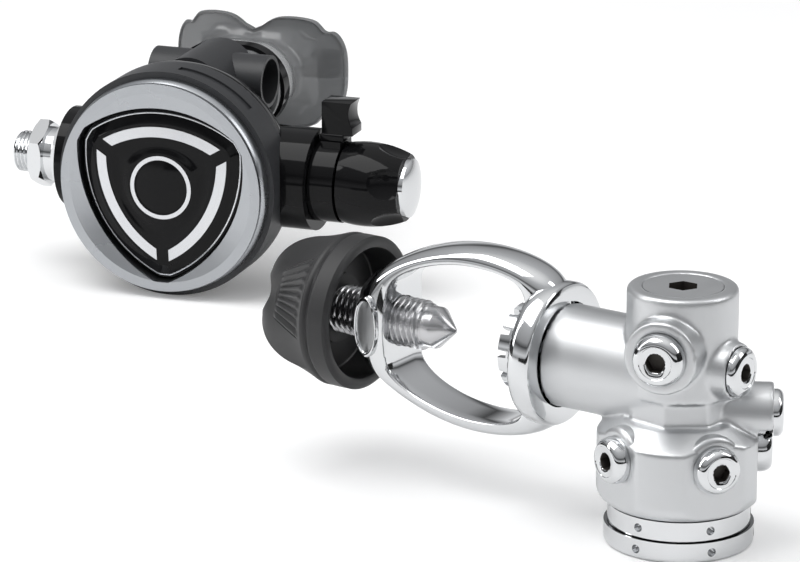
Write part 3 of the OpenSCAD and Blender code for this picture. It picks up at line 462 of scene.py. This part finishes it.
def hose_thread_place(u, turn):
    """The bore's end, the chamfered front and then the thread, which starts and ends at its root."""
    row = round(u * thread_rows)
    root = thread_crest - thread_depth
    if row == 0:
        x, r = thread_end, thread_bore
    elif row == 1:
        x, r = thread_start + thread_chamfer, thread_bore
    elif row == 2:
        x, r = thread_start, thread_bore + thread_chamfer
    elif row == 3:
        x, r = thread_start, root
    else:
        x = thread_start + (thread_end - thread_start) * (row - 4) / (thread_rows - 4)
        r = thread_radius(x, turn, thread_crest, thread_depth, thread_pitch)
        r = min(r, root + (x - thread_start) * 0.9)
        if x > thread_end - thread_runout:
            r = root
    angle = 2 * math.pi * turn
    return (case_x + x, barrel_y + r * math.cos(angle), case_z + r * math.sin(angle))


fitting = merged_copy("inlet_fitting", "hose_fitting", chrome)
trim(fitting, (nose_end, 0, 0), (1, 0, 0), clear_inner=True)
hose_thread = wrapped("hose_thread", thread_rows, 72, hose_thread_place, chrome)
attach(hose_thread, "root")

# ---- Inside the barrel ----------------------------------------------------------------------------------
# An O-ring seals the fitting. The moulded poppet closes the fitting's seat, pushed by a wire spring that
# leans on a brass seat, and the adjusting knob moves that seat.
oring_rubber = finish("oring", (0.012, 0.012, 0.012), (0.018, 0.018, 0.018), metal=0,
                      rough=(0.3, 0.4), grain=1500, patch=60, bump_mm=0.004)
inner_plastic = finish("inner_plastic", (0.62, 0.6, 0.53), (0.66, 0.64, 0.57), metal=0,
                       rough=(0.4, 0.5), grain=1500, patch=60, bump_mm=0.006)
brass = finish("brass", (0.56, 0.42, 0.18), (0.62, 0.47, 0.22), metal=1,
               rough=(0.22, 0.32), grain=2600, patch=60, bump_mm=0.004)
merged_copy("inlet_oring", "inlet_seal", oring_rubber)
merged_copy("poppet", "poppet_piece", inner_plastic)
merged_copy("valve_spring", "valve_spring_coil", steel)
merged_copy("spring_seat", "spring_seat_piece", brass)

# ---- Adjusting knob -------------------------------------------------------------------------------------
# Gloss black plastic, scooped for the fingers, pinned to a plated shaft that screws into the barrel.
# A plated dome is pressed into its end.
merged_copy("knob_shaft", "knob_shaft_piece", chrome)
merged_copy("adjusting_knob", "knob_grip", gloss_black)
merged_copy("knob_cap", "knob_dome", chrome)

# ---- Airflow lever --------------------------------------------------------------------------------------
# A gloss black collar round the neck, with a paddle hollowed for the thumb. It turns a satin vane inside the
# case, which steers the air to the mouthpiece.
collar_top = 0.0540
thumb_radius, thumb_place = 0.0084, (-0.1628, barrel_y, 0.0636)


def block_at(size, middle):
    """A plain block of this size round a point."""
    only()
    bpy.ops.mesh.primitive_cube_add(size=1, location=(0, 0, 0))
    block = bpy.context.object
    block.data.transform(Matrix.LocRotScale(Vector(middle), None, Vector(size)))
    return block


def bore(piece, radius, place):
    """Cuts a round hole 30 mm long. The matrix place puts its cylinder, which starts upright."""
    only()
    bpy.ops.mesh.primitive_cylinder_add(vertices=96, radius=radius, depth=0.030, location=(0, 0, 0))
    cutter = bpy.context.object
    cutter.data.transform(place)
    cut = piece.modifiers.new("bore", "BOOLEAN")
    cut.operation = "DIFFERENCE"
    cut.object = cutter
    only(piece)
    bpy.ops.object.modifier_apply(modifier="bore")
    bpy.data.objects.remove(cutter)


def soften(block, width, segments, material):
    """Rounds a block's edges, shades it smooth and gives it its material."""
    edge = block.modifiers.new("soft_edges", "BEVEL")
    edge.width = width
    edge.segments = segments
    edge.limit_method = "ANGLE"
    edge.angle_limit = math.radians(30)
    only(block)
    bpy.ops.object.modifier_apply(modifier="soft_edges")
    bpy.ops.object.shade_smooth_by_angle(angle=math.radians(40))
    block.data.materials.append(material)


lever = merged_copy("venturi_lever", "airflow_lever", gloss_black)
trim(lever, (0, 0, collar_top), (0, 0, 1), use_fill=True, clear_outer=True)
paddle_root = block_at((0.0086, 0.0100, 0.0027), (-0.1771, barrel_y, 0.0552))
paddle = block_at((0.0110, 0.0092, 0.0114), (-0.1753, barrel_y, 0.0619))
bore(paddle, thumb_radius, Matrix.Translation(thumb_place) @ Matrix.Rotation(math.radians(90), 4, "X"))
for block in (paddle_root, paddle):
    soften(block, 0.0006, 3, gloss_black)
only(lever, paddle_root, paddle)
bpy.ops.object.join()
merged_copy("venturi_vane", "airflow_vane", satin_black)

# ---- Exhaust tee and flap -------------------------------------------------------------------------------
# A soft rubber flap lets the breath out through the case's shoulder. The satin black tee, clipped over it,
# leads the bubbles to both sides.
merged_copy("exhaust_valve", "exhaust_valve_rubber", soft_black)
merged_copy("exhaust_tee", "exhaust_tee_piece", satin_black)

# ---- Mouthpiece -----------------------------------------------------------------------------------------
# One moulding of smoke-coloured silicone: a neck with a groove for its tie, a lip shield with a beaded rim,
# and two pads to bite on. A gloss black tie holds it on the case's rear neck.
neck_round, neck_straight, neck_rise = 0.0116, 0.0055, 0.020
shield_half_width, shield_half_height = 0.0322, 0.0212
shield_front, shield_back, shield_flare = 0.0845, 0.0895, 0.0037
shield_wrap, wrap_power, shield_bow = 0.0075, 2.4, 0.0012
shield_thick, shield_thinner, bead_rise = 0.0021, 0.0006, 0.0008
shield_powers = (0.62, 0.66)
shield_dips = ((0.22, 0.0, 0.0055), (0.07, 0.0, 0.013), (0.13, 0.0255, 0.0022))
bite_x, bite_z, bite_drop = 0.0200, 0.0200, 0.0009

# Rows along the silicone: the neck's outside, the shield's front, its rim, its back, and the airway's end.
mouth_rows = [("neck", y, grow) for y, grow in (
    (0.0735, -0.0018), (0.0730, -0.0016), (0.0730, 0.0001), (0.0603, 0.0001), (0.0601, 0.0008),
    (0.0601, 0.0018), (0.0606, 0.0025), (0.0614, 0.0027), (0.0626, 0.0027), (0.0634, 0.0024),
    (0.0639, 0.0020), (0.0691, 0.0020), (0.0696, 0.0024), (0.0704, 0.0027), (0.0725, 0.0027),
    (0.0745, 0.0025), (0.0765, 0.0018), (0.0785, 0.0011), (0.0805, 0.0007), (0.0825, 0.0006))]
mouth_rows += [("shield", share, 0) for share in (
    0.05, 0.12, 0.22, 0.34, 0.48, 0.62, 0.74, 0.84, 0.88, 0.91, 0.94, 0.97)]
mouth_rows += [("shield", 0.99, 0.12), ("shield", 1.0, 0.5), ("shield", 0.99, 0.88)]
mouth_rows += [("shield", share, 1) for share in (
    0.97, 0.94, 0.91, 0.88, 0.84, 0.72, 0.56, 0.40, 0.25, 0.12, 0.03)]
mouth_rows += [("neck", y, grow) for y, grow in (
    (0.0885, -0.0012), (0.0875, -0.0017), (0.085, -0.0018), (0.080, -0.0018))]


def stadium(turn, grow):
    """The neck's section: two half circles and the straight between them, drawn outwards by grow."""
    angle = 2 * math.pi * turn
    side = max(-1.0, min(1.0, math.cos(angle) / 0.25))
    reach = neck_round + grow
    return neck_straight * side + reach * math.cos(angle), reach * math.sin(angle)


def shield_edge(turn):
    """The shield's outline: a soft oblong with a dip at its middle and a dent near each end."""
    angle = 2 * math.pi * turn
    c, s = math.cos(angle), math.sin(angle)
    x = shield_half_width * math.copysign(abs(c) ** shield_powers[0], c)
    z = shield_half_height * math.copysign(abs(s) ** shield_powers[1], s)
    narrower = sum(depth * math.exp(-((abs(x) - place) / width) ** 2) for depth, place, width in shield_dips)
    return x, z * (1 - narrower)


def shield_point(turn, share, back):
    """A point share of the way from the neck to the rim, on the front (back 0) or the back (back 1)."""
    inner_x, inner_z = stadium(turn, 0.0006 if back < 0.5 else -0.0004)
    outer_x, outer_z = shield_edge(turn)
    x = inner_x + (outer_x - inner_x) * share
    z = inner_z + (outer_z - inner_z) * share
    flare = shield_front + shield_flare * (1 - (1 - min(1, share * 1.6)) ** 2.2)
    wrap = (shield_wrap * (abs(x) / shield_half_width) ** wrap_power
            - shield_bow * (abs(z) / shield_half_height) ** 2 * (1 - abs(x) / 0.04))
    thick = shield_thick - shield_thinner * share
    bead = bead_rise * math.exp(-((share - 0.96) / 0.035) ** 2)
    front_y = flare + wrap - bead
    back_y = max(shield_back + wrap, front_y + bead + thick) + bead
    return x, front_y + (back_y - front_y) * back, z


def mouthpiece_place(u, turn):
    kind, first, second = row_at(mouth_rows, u)
    if kind == "neck":
        x, z = stadium(turn, second)
        y = first
    else:
        x, y, z = shield_point(turn, first, second)
    return (case_x + x, case_y + y, case_z + neck_rise + z)


silicone = finish("silicone", (0.20, 0.205, 0.21), (0.26, 0.265, 0.27), metal=0,
                  rough=(0.07, 0.12), grain=700, patch=30, bump_mm=0.002, shine=0.7)
silicone.node_tree.nodes["Principled BSDF"].inputs["Transmission Weight"].default_value = 0.45
silicone.node_tree.nodes["Principled BSDF"].inputs["IOR"].default_value = 1.43
mouthpiece = wrapped("mouthpiece_body", len(mouth_rows) - 1, 240, mouthpiece_place, silicone)
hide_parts("mouthpiece")
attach(mouthpiece, "root")
bite_parts = []
for side in (-1, 1):
    for size, y, soft_width in (((0.0105, 0.0165, 0.0036), 0.0976, 0.0017),
                                ((0.0112, 0.0050, 0.0104), 0.1034, 0.0024)):
        pad = block_at(size, Vector((bite_x * side, y, bite_z)) + Vector((case_x, case_y, case_z)))
        soften(pad, soft_width, 6, silicone)
        for vertex in pad.data.vertices:
            outwards = abs(vertex.co.x - case_x) / shield_half_width
            vertex.co.y += shield_wrap * outwards ** wrap_power - bite_drop
        bite_parts.append(pad)
only(mouthpiece, *bite_parts)
bpy.ops.object.join()
merged_copy("mouthpiece_tie", "mouthpiece_strap", gloss_black)

# ---- First-stage body -----------------------------------------------------------------------------------
# One forging of brass, blasted with beads and plated in satin chrome: turret, arm, side stub, waist and bell.
# A fine remesh and a light smoothing give it the soft corners of its blasted skin.
pearl = finish("pearl_chrome", (0.60, 0.61, 0.62), (0.68, 0.69, 0.70), metal=1,
               rough=(0.36, 0.44), grain=3200, patch=40, bump_mm=0.012)
casting = merged_copy("regulator_body", "body_casting", pearl)
skin = casting.modifiers.new("soft_skin", "REMESH")
skin.mode = "VOXEL"
skin.voxel_size = 0.0006
skin.use_smooth_shade = True
bpy.ops.object.modifier_apply(modifier="soft_skin")
relax = casting.modifiers.new("relax", "SMOOTH")
relax.factor = 0.5
relax.iterations = 5
bpy.ops.object.modifier_apply(modifier="relax")

# ---- Port bosses ----------------------------------------------------------------------------------------
# Each low-pressure port in the bell has an arched boss that runs up over the shoulder. It is one with the
# body, in the same satin chrome.
yoke_heading = 165
port_headings, port_height = (66, 148, -66, -148), 0.028
boss_rows = ((0.0110, 0.0001), (0.0110, 0.0094), (0.0206, 0.0094), (0.0212, 0.0092), (0.0217, 0.0086),
             (0.02195, 0.0078), (0.02195, 0.0066), (0.0215, 0.0064), (0.0213, 0.0001))


def directions(heading):
    """Straight out from the body at a heading, in degrees from the yoke's, and level across that."""
    turned = math.radians(yoke_heading + heading)
    out = Vector((math.cos(turned), math.sin(turned), 0))
    return out, Vector((-out.y, out.x, 0))


for heading in port_headings:
    out, aside = directions(heading)

    def boss_place(u, turn):
        along, r = row_at(boss_rows, u)
        angle = 2 * math.pi * turn
        point = out * along + aside * (r * math.cos(angle))
        return (point.x, point.y, port_height + r * math.sin(angle))

    boss = wrapped("port_boss_" + str(heading % 360), len(boss_rows) - 1, 72, boss_place, pearl)
    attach(boss, "root")

# ---- Turret plug ----------------------------------------------------------------------------------------
# Closes the turret over the high-pressure valve. Satin chrome like the body, with a hexagon socket for the
# key that screws it in. The socket is dark brown: partly its oxide, partly painted shade of the deep hole.
socket_radius, socket_floor, socket_top = 0.0043, 0.0720, 0.0758
# The sockets' dark brown is partly their oxide and partly painted shade of the deep hole.
socket_oxide_and_shade = finish("socket_oxide_and_shade", (0.045, 0.040, 0.036), (0.07, 0.062, 0.055), metal=0.6,
                     rough=(0.45, 0.55), grain=1500, patch=60, bump_mm=0.006)
turret_disc = merged_copy("turret_plug", "turret_disc", pearl)
turret_disc.data.materials.append(socket_oxide_and_shade)
for face in turret_disc.data.polygons:
    in_socket = math.hypot(face.center.x, face.center.y) < socket_radius
    if in_socket and socket_floor < face.center.z < socket_top:
        face.material_index = 1

# ---- Cap rings ------------------------------------------------------------------------------------------
# Polished chrome on turned brass. The upper one clamps the main diaphragm, and the lower one closes the
# spring's chamber. Both have holes for a pin spanner.
merged_copy("diaphragm_clamp", "upper_cap", chrome)
merged_copy("end_cap", "lower_cap", chrome)

# ---- Inside the first stage -----------------------------------------------------------------------------
# The main spring pushes the rubber diaphragm up through a brass plate. The diaphragm's pin lifts the brass
# poppet off the crown, and a small spring closes it.
for node in ("spring_adjuster", "thrust_plate", "high_poppet"):
    merged_copy(node, node + "_brass", brass)
for node in ("main_spring", "push_pin", "valve_crown", "high_spring", "filter_clip"):
    merged_copy(node, node + "_steel", steel)
merged_copy("main_diaphragm", "main_diaphragm_rubber", soft_black)

# ---- Yoke -----------------------------------------------------------------------------------------------
# A lens-shaped loop of forged brass in polished chrome, thicker where the screw passes through. A collar
# joins it to the body's arm, and an oval pad on its end is left bare.
yoke_height, window_middle = 0.0486, 0.0724
window_inside = (0.0724, 0.0240, 0.055)
yoke_outside = (0.07335, 0.03445, 0.060)
lens_middle, lens_drop, outline_power = 0.06616, 0.0316, 9
loop_steps, arc_steps = 240, 24
half_depth_thin, half_depth_more = 0.0080, 0.0032
fuller_width, thin_powers, fuller_powers = 0.30, (0.86, 0.80), (0.38, 0.42)
wall_share = 0.09
screw_hole_radius, screw_hole_along = 0.0077, 0.1030
collar_rows = ((0.0389, 0.0157), (0.0389, 0.0203), (0.0392, 0.0209), (0.0399, 0.0213), (0.0440, 0.0213),
               (0.0452, 0.0211), (0.0462, 0.0204), (0.0470, 0.0192), (0.0476, 0.0174), (0.0480, 0.0150),
               (0.0482, 0.0125), (0.0482, 0.0111))
pad_along, pad_across, pad_tilt = 0.1020, 0.0116, math.radians(6)
pad_half_width, pad_half_height, pad_field = 0.0043, 0.0094, 0.82
pad_rows = ((-0.0030, 1.0), (0.0002, 1.0), (0.0006, 0.97), (0.0007, 0.92), (0.0006, 0.87), (0.0002, 0.85),
            (0.0000, 0.82), (0.0, 0.5), (0.0, 0.001))
yoke_axis, yoke_side = directions(0)


def yoke_point(along, across, height):
    """A point along the yoke's axis from the body's, across it towards the front, and above it."""
    point = yoke_axis * along + yoke_side * across
    return (point.x, point.y, yoke_height + height)


def round_yoke(along, radius, turn):
    """A point at a radius from the yoke's axis, turn (0 to 1) round it."""
    angle = 2 * math.pi * turn
    return yoke_point(along, radius * math.cos(angle), radius * math.sin(angle))


def outline_reach(direction, middle, half_length, curve):
    """How far a lens-shaped outline with softened corners lies from the window's middle, in one direction."""
    near, far = 0.0, 0.06
    for _ in range(28):
        reach = (near + far) / 2
        along = window_middle + reach * math.cos(direction)
        height = reach * math.sin(direction)
        square = curve ** 2 - (along - lens_middle) ** 2
        half = max(0.0005, math.sqrt(max(0.0, square)) - lens_drop)
        if abs((along - middle) / half_length) ** outline_power + abs(height / half) ** outline_power < 1:
            near = reach
        else:
            far = reach
    return near


# The band's section, once round: the flat wall to the window, then the arc over its front, and back again.
yoke_section = [("wall", 0.0, share) for share in (-0.88, -0.5, 0.0, 0.5, 0.88)]
yoke_section += [("wall", 0.03, 0.965), ("wall", wall_share, 1.0)]
yoke_section += [("arc", math.pi * step / arc_steps, 1) for step in range(1, arc_steps // 2 + 1)]
yoke_section += [("arc", math.pi * step / arc_steps, -1) for step in range(arc_steps // 2 - 1, 0, -1)]
yoke_section += [("wall", wall_share, -1.0), ("wall", 0.03, -0.965), ("wall", 0.0, -0.88)]
loop_directions = [2 * math.pi * i / loop_steps for i in range(loop_steps)]
inner_reach = [outline_reach(direction, *window_inside) for direction in loop_directions]
outer_reach = [outline_reach(direction, *yoke_outside) for direction in loop_directions]


def yoke_place(u, turn):
    """The yoke's loop: a rounded band, fuller and thicker at the end that the screw passes through."""
    kind, first, second = row_at(yoke_section, u)
    i = round(turn * loop_steps) % loop_steps
    direction = loop_directions[i]
    fuller = math.exp(-(math.sin(direction / 2) / fuller_width) ** 2)
    share, depth = first, second
    if kind == "arc":
        share_power, depth_power = (thin - more * fuller for thin, more in zip(thin_powers, fuller_powers))
        share = wall_share + (1 - wall_share) * math.sin(first) ** share_power
        depth = second * max(0.0, math.cos(first)) ** depth_power
    reach = inner_reach[i] + (outer_reach[i] - inner_reach[i]) * share
    half_depth = half_depth_thin + half_depth_more * fuller
    return yoke_point(window_middle + reach * math.cos(direction), half_depth * depth,
                      reach * math.sin(direction))


def collar_place(u, turn):
    return round_yoke(*row_at(collar_rows, u), turn)


def pad_place(u, turn):
    """The oval pad: a low rim round a bare field, tilted a little towards the screw."""
    rise, share = row_at(pad_rows, u)
    angle = 2 * math.pi * turn
    aside = pad_half_width * share * math.cos(angle)
    return yoke_point(pad_along + aside * math.cos(pad_tilt) + rise * math.sin(pad_tilt),
                      pad_across - aside * math.sin(pad_tilt) + rise * math.cos(pad_tilt),
                      pad_half_height * share * math.sin(angle))


yoke_frame = wrapped("yoke_frame", len(yoke_section) - 1, loop_steps, yoke_place, chrome)
along_yoke = yoke_axis.to_track_quat("Z", "Y").to_matrix().to_4x4()
bore(yoke_frame, screw_hole_radius, Matrix.Translation(yoke_point(screw_hole_along, 0, 0)) @ along_yoke)
bpy.ops.object.shade_smooth_by_angle(angle=crease_angle)
yoke_collar = wrapped("yoke_collar", len(collar_rows) - 1, 96, collar_place, chrome)
oval_pad = wrapped("oval_pad", len(pad_rows) - 1, 96, pad_place, chrome)
oval_pad.data.materials.append(pearl)
for face in oval_pad.data.polygons:
    aside = (face.center.dot(yoke_axis) - pad_along) / pad_half_width
    if math.hypot(aside, (face.center.z - yoke_height) / pad_half_height) < pad_field:
        face.material_index = 1
only(yoke_frame, yoke_collar, oval_pad)
bpy.ops.object.join()
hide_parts("yoke")
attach(yoke_frame, "root")

# ---- Yoke retainer, filter and face seal ----------------------------------------------------------------
# The chromed retainer screws into the arm through the collar and clamps the yoke. Its slotted crown stands
# in the window, round a cone of sintered bronze and the rubber ring that seals on the cylinder's valve.
crown_slots, slot_share, slot_floor = 12, 0.3, 0.0515
crown_rows = ((0.0490, 0.0106), (0.0543, 0.0106), (0.0546, 0.0109), (0.0546, 0.0127), (0.0542, 0.0131),
              (0.0490, 0.0131))


def crown_place(u, turn):
    along, radius = row_at(crown_rows, u)
    if (turn * crown_slots) % 1.0 < slot_share:
        along = min(along, slot_floor)
    return round_yoke(along, radius, turn)


merged_copy("yoke_retainer", "yoke_nut", chrome)
retainer_crown = wrapped("retainer_crown", len(crown_rows) - 1, 360, crown_place, chrome)
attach(retainer_crown, "root")
bronze = finish("bronze", (0.42, 0.27, 0.14), (0.5, 0.34, 0.18), metal=1,
                rough=(0.45, 0.6), grain=2200, patch=90, bump_mm=0.06)
merged_copy("inlet_filter", "filter_cone", bronze)
merged_copy("tank_oring", "face_seal", oring_rubber)

# ---- Clamp screw ----------------------------------------------------------------------------------------
# Turned steel with a hardened cone point and a 2 mm thread. It screws through the yoke's end and presses the
# cylinder's valve against the face seal.
screw_tip, screw_crest, screw_depth, screw_pitch = 0.0774, 0.0075, 0.00125, 0.002
screw_begin, screw_length, screw_rows = 0.0092, 0.0318, 176
pole_radius = 0.00001
screw_point = ((0.0, pole_radius), (0.0001, 0.0006), (0.0059, 0.0062), (0.0062, 0.0063), (0.0088, 0.0063),
               (0.0090, 0.0061))
screw_shank = ((0.0412, 0.0059), (0.0560, 0.0059), (0.0560, pole_radius))
screw_last = len(screw_point) + screw_rows + len(screw_shank) - 1


def clamp_screw_place(u, turn):
    """The cone point, then the thread, which runs in from its root, then the plain shank in the knob."""
    row = round(u * screw_last)
    if row < len(screw_point):
        along, radius = screw_point[row]
    elif row < len(screw_point) + screw_rows:
        along = screw_begin + screw_length * (row - len(screw_point)) / (screw_rows - 1)
        radius = thread_radius(along, turn, screw_crest, screw_depth, screw_pitch)
        radius = min(radius, 0.0061 + (along - screw_begin))
    else:
        along, radius = screw_shank[row - len(screw_point) - screw_rows]
    return round_yoke(screw_tip + along, radius, turn)


clamp_screw = wrapped("clamp_screw_thread", screw_last, 72, clamp_screw_place, steel)
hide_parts("yoke_screw")
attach(clamp_screw, "clamp_screw")

# ---- Clamp knob -----------------------------------------------------------------------------------------
# Soft black rubber moulded over a hub that is pinned to the screw. It is a hollow bell with three ridges,
# and between them scoops with ribs for wet fingers.
grip_rim, grip_length, scoop_angle = 0.1090, 0.0353, math.radians(22)
grip_across, ridge_start, ridge_length, notch_depth = 0.0233, 0.008, 0.02862, 0.0036
scoop_start, scoop_length, scoop_depth = 0.0090, 0.0270, 0.0193
rib_start, rib_end, rib_rise, rib_pitch, rib_reach = 0.0105, 0.0262, 0.0010, 0.0622, 0.28
groove_place, groove_depth = 0.0070, 0.0006
outside_start, end_start = 0.0008, 0.0312
hollow_rows = ((0.027, 0.0002), (0.027, 0.0106), (0.0120, 0.0106), (0.0119, 0.0110), (0.0119, 0.0190),
               (0.0115, 0.0194), (0.0010, 0.0198), (0.0003, 0.0200), (0.0, 0.0205), (0.0, 0.0221),
               (0.0003, 0.0227))
outside_rows = 84
end_shares = (0.97, 0.90, 0.80, 0.65, 0.5, 0.3, 0.1, 0.01)
grip_last = len(hollow_rows) + outside_rows + len(end_shares) - 1


def ramp(value):
    """The value, held between 0 and 1."""
    return min(1.0, max(0.0, value))


def grip_radius(s, third):
    """The bell's radius s metres from its rim, where third runs from ridge (-0.5) by scoop (0) to ridge."""
    ridge = grip_across * math.sqrt(1 - (max(0.0, s - ridge_start) / ridge_length) ** 2)
    valley = grip_across - scoop_depth * ramp((s - scoop_start) / scoop_length) ** 0.92
    radius = ridge - max(0.0, ridge - valley) * math.cos(math.pi * third) ** 0.85
    ribbed = ramp((s - rib_start) / 0.0015) * ramp((rib_end - s) / 0.0020)
    if abs(third) < rib_reach:
        radius += rib_rise * ribbed * ((math.cos(math.pi * third / rib_pitch) ** 2) ** 0.7 - 0.35)
    return radius - groove_depth * math.exp(-((s - groove_place) / 0.0005) ** 2)


def grip_place(u, turn):
    """Rings of the hollow, then the outside, then the notched end."""
    row = round(u * grip_last)
    third = (turn * 3) % 1.0 - 0.5
    tip = grip_length - notch_depth * math.cos(math.pi * third) ** 1.2
    if row < len(hollow_rows):
        s, r = hollow_rows[row]
    elif row < len(hollow_rows) + outside_rows:
        s = outside_start + (tip - outside_start) * (row - len(hollow_rows)) / (outside_rows - 1)
        r = grip_radius(s, third)
    else:
        share = end_shares[row - len(hollow_rows) - outside_rows]
        s = end_start + (tip - end_start) * share ** 1.5
        r = grip_radius(tip, third) * share
    angle = 2 * math.pi * turn + scoop_angle - math.pi / 3
    return yoke_point(grip_rim + s, r * math.cos(angle), r * math.sin(angle))


knob_rubber = finish("knob_rubber", (0.014, 0.014, 0.015), (0.020, 0.020, 0.021), metal=0,
                     rough=(0.42, 0.52), grain=2400, patch=40, bump_mm=0.012)
merged_copy("knob_insert", "knob_hub", soft_black)
clamp_grip = wrapped("clamp_grip", grip_last, 540, grip_place, knob_rubber)
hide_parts("yoke_knob")
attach(clamp_grip, "clamp_knob")

# ---- Port plugs -----------------------------------------------------------------------------------------
# Polished chrome plugs close the ports, each with a domed flange, a flat land round a hexagon socket that is
# dark with oxide and painted shade, and a rubber ring under it. Two are on the high-pressure ports and five
# on the low-pressure ones.
land_width, dome_steps, flange_rise = 0.0019, 12, 0.0008
shank_length, shank_chamfer = 0.0064, 0.0004
land_step, key_lead, key_start, socket_depth, socket_end = 0.0002, 0.0005, 0.0008, 0.0034, 0.0036


def make_plugs(node, places):
    """One domed plug at each place: heading, height, reach, shank and flange radius, rise and key radius."""
    made = []
    for heading, height, reach, shank, flange, rise, key in places:
        out, aside = directions(heading)
        land = key + land_width
        # each row: distance out from the port's face, radius, and how far the circle is a hexagon
        rows = [(-shank_length, pole_radius, 0), (-shank_length, shank - shank_chamfer, 0),
                (shank_chamfer - shank_length, shank, 0), (0.0, shank, 0), (0.0, flange, 0)]
        for step in range(dome_steps + 1):
            angle = math.pi / 2 * step / dome_steps
            rows.append((flange_rise + (rise - flange_rise) * math.sin(angle),
                         land + (flange - land) * math.cos(angle), 0))
        rows += [(rise - land_step, land - land_step, 0), (rise - land_step, key + key_lead, 0),
                 (rise - key_lead, key, 0.5), (rise - key_start, key, 1), (rise - socket_depth, key, 1),
                 (rise - socket_end, pole_radius, 0)]

        def plug_place(u, turn):
            along, radius, hexed = row_at(rows, u)
            angle = 2 * math.pi * turn
            flat = math.cos(math.pi / 6) / math.cos((angle % (math.pi / 3)) - math.pi / 6)
            radius *= 1 - hexed + hexed * flat
            point = out * (reach + along) + aside * (radius * math.cos(angle))
            return (point.x, point.y, height + radius * math.sin(angle))

        plug = wrapped("plug", len(rows) - 1, 72, plug_place, chrome)
        # Faces in the key socket get the dark material: oxide plus painted shade.
        plug.data.materials.append(socket_oxide_and_shade)
        for face in plug.data.polygons:
            across = face.center.dot(aside)
            if math.hypot(across, face.center.z - height) < key * 0.99 and face.center.dot(out) > reach:
                face.material_index = 1
        made.append(plug)
    only(*made)
    bpy.ops.object.join()
    made[0].name = node + "_polished"
    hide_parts(node)
    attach(made[0], "root")


make_plugs("high_plugs", ((104, 0.0607, 0.02155, 0.0055, 0.0077, 0.0045, 0.0030),
                          (180, 0.0540, 0.01895, 0.0055, 0.0072, 0.0027, 0.0027)))
bell_plugs = [(heading, port_height, 0.02205, 0.0047, 0.0069, 0.0043, 0.0027) for heading in port_headings]
make_plugs("low_plugs", bell_plugs + [(-150, 0.039, 0.02655, 0.0047, 0.0069, 0.0029, 0.0027)])
merged_copy("plug_orings", "port_seals", oring_rubber)
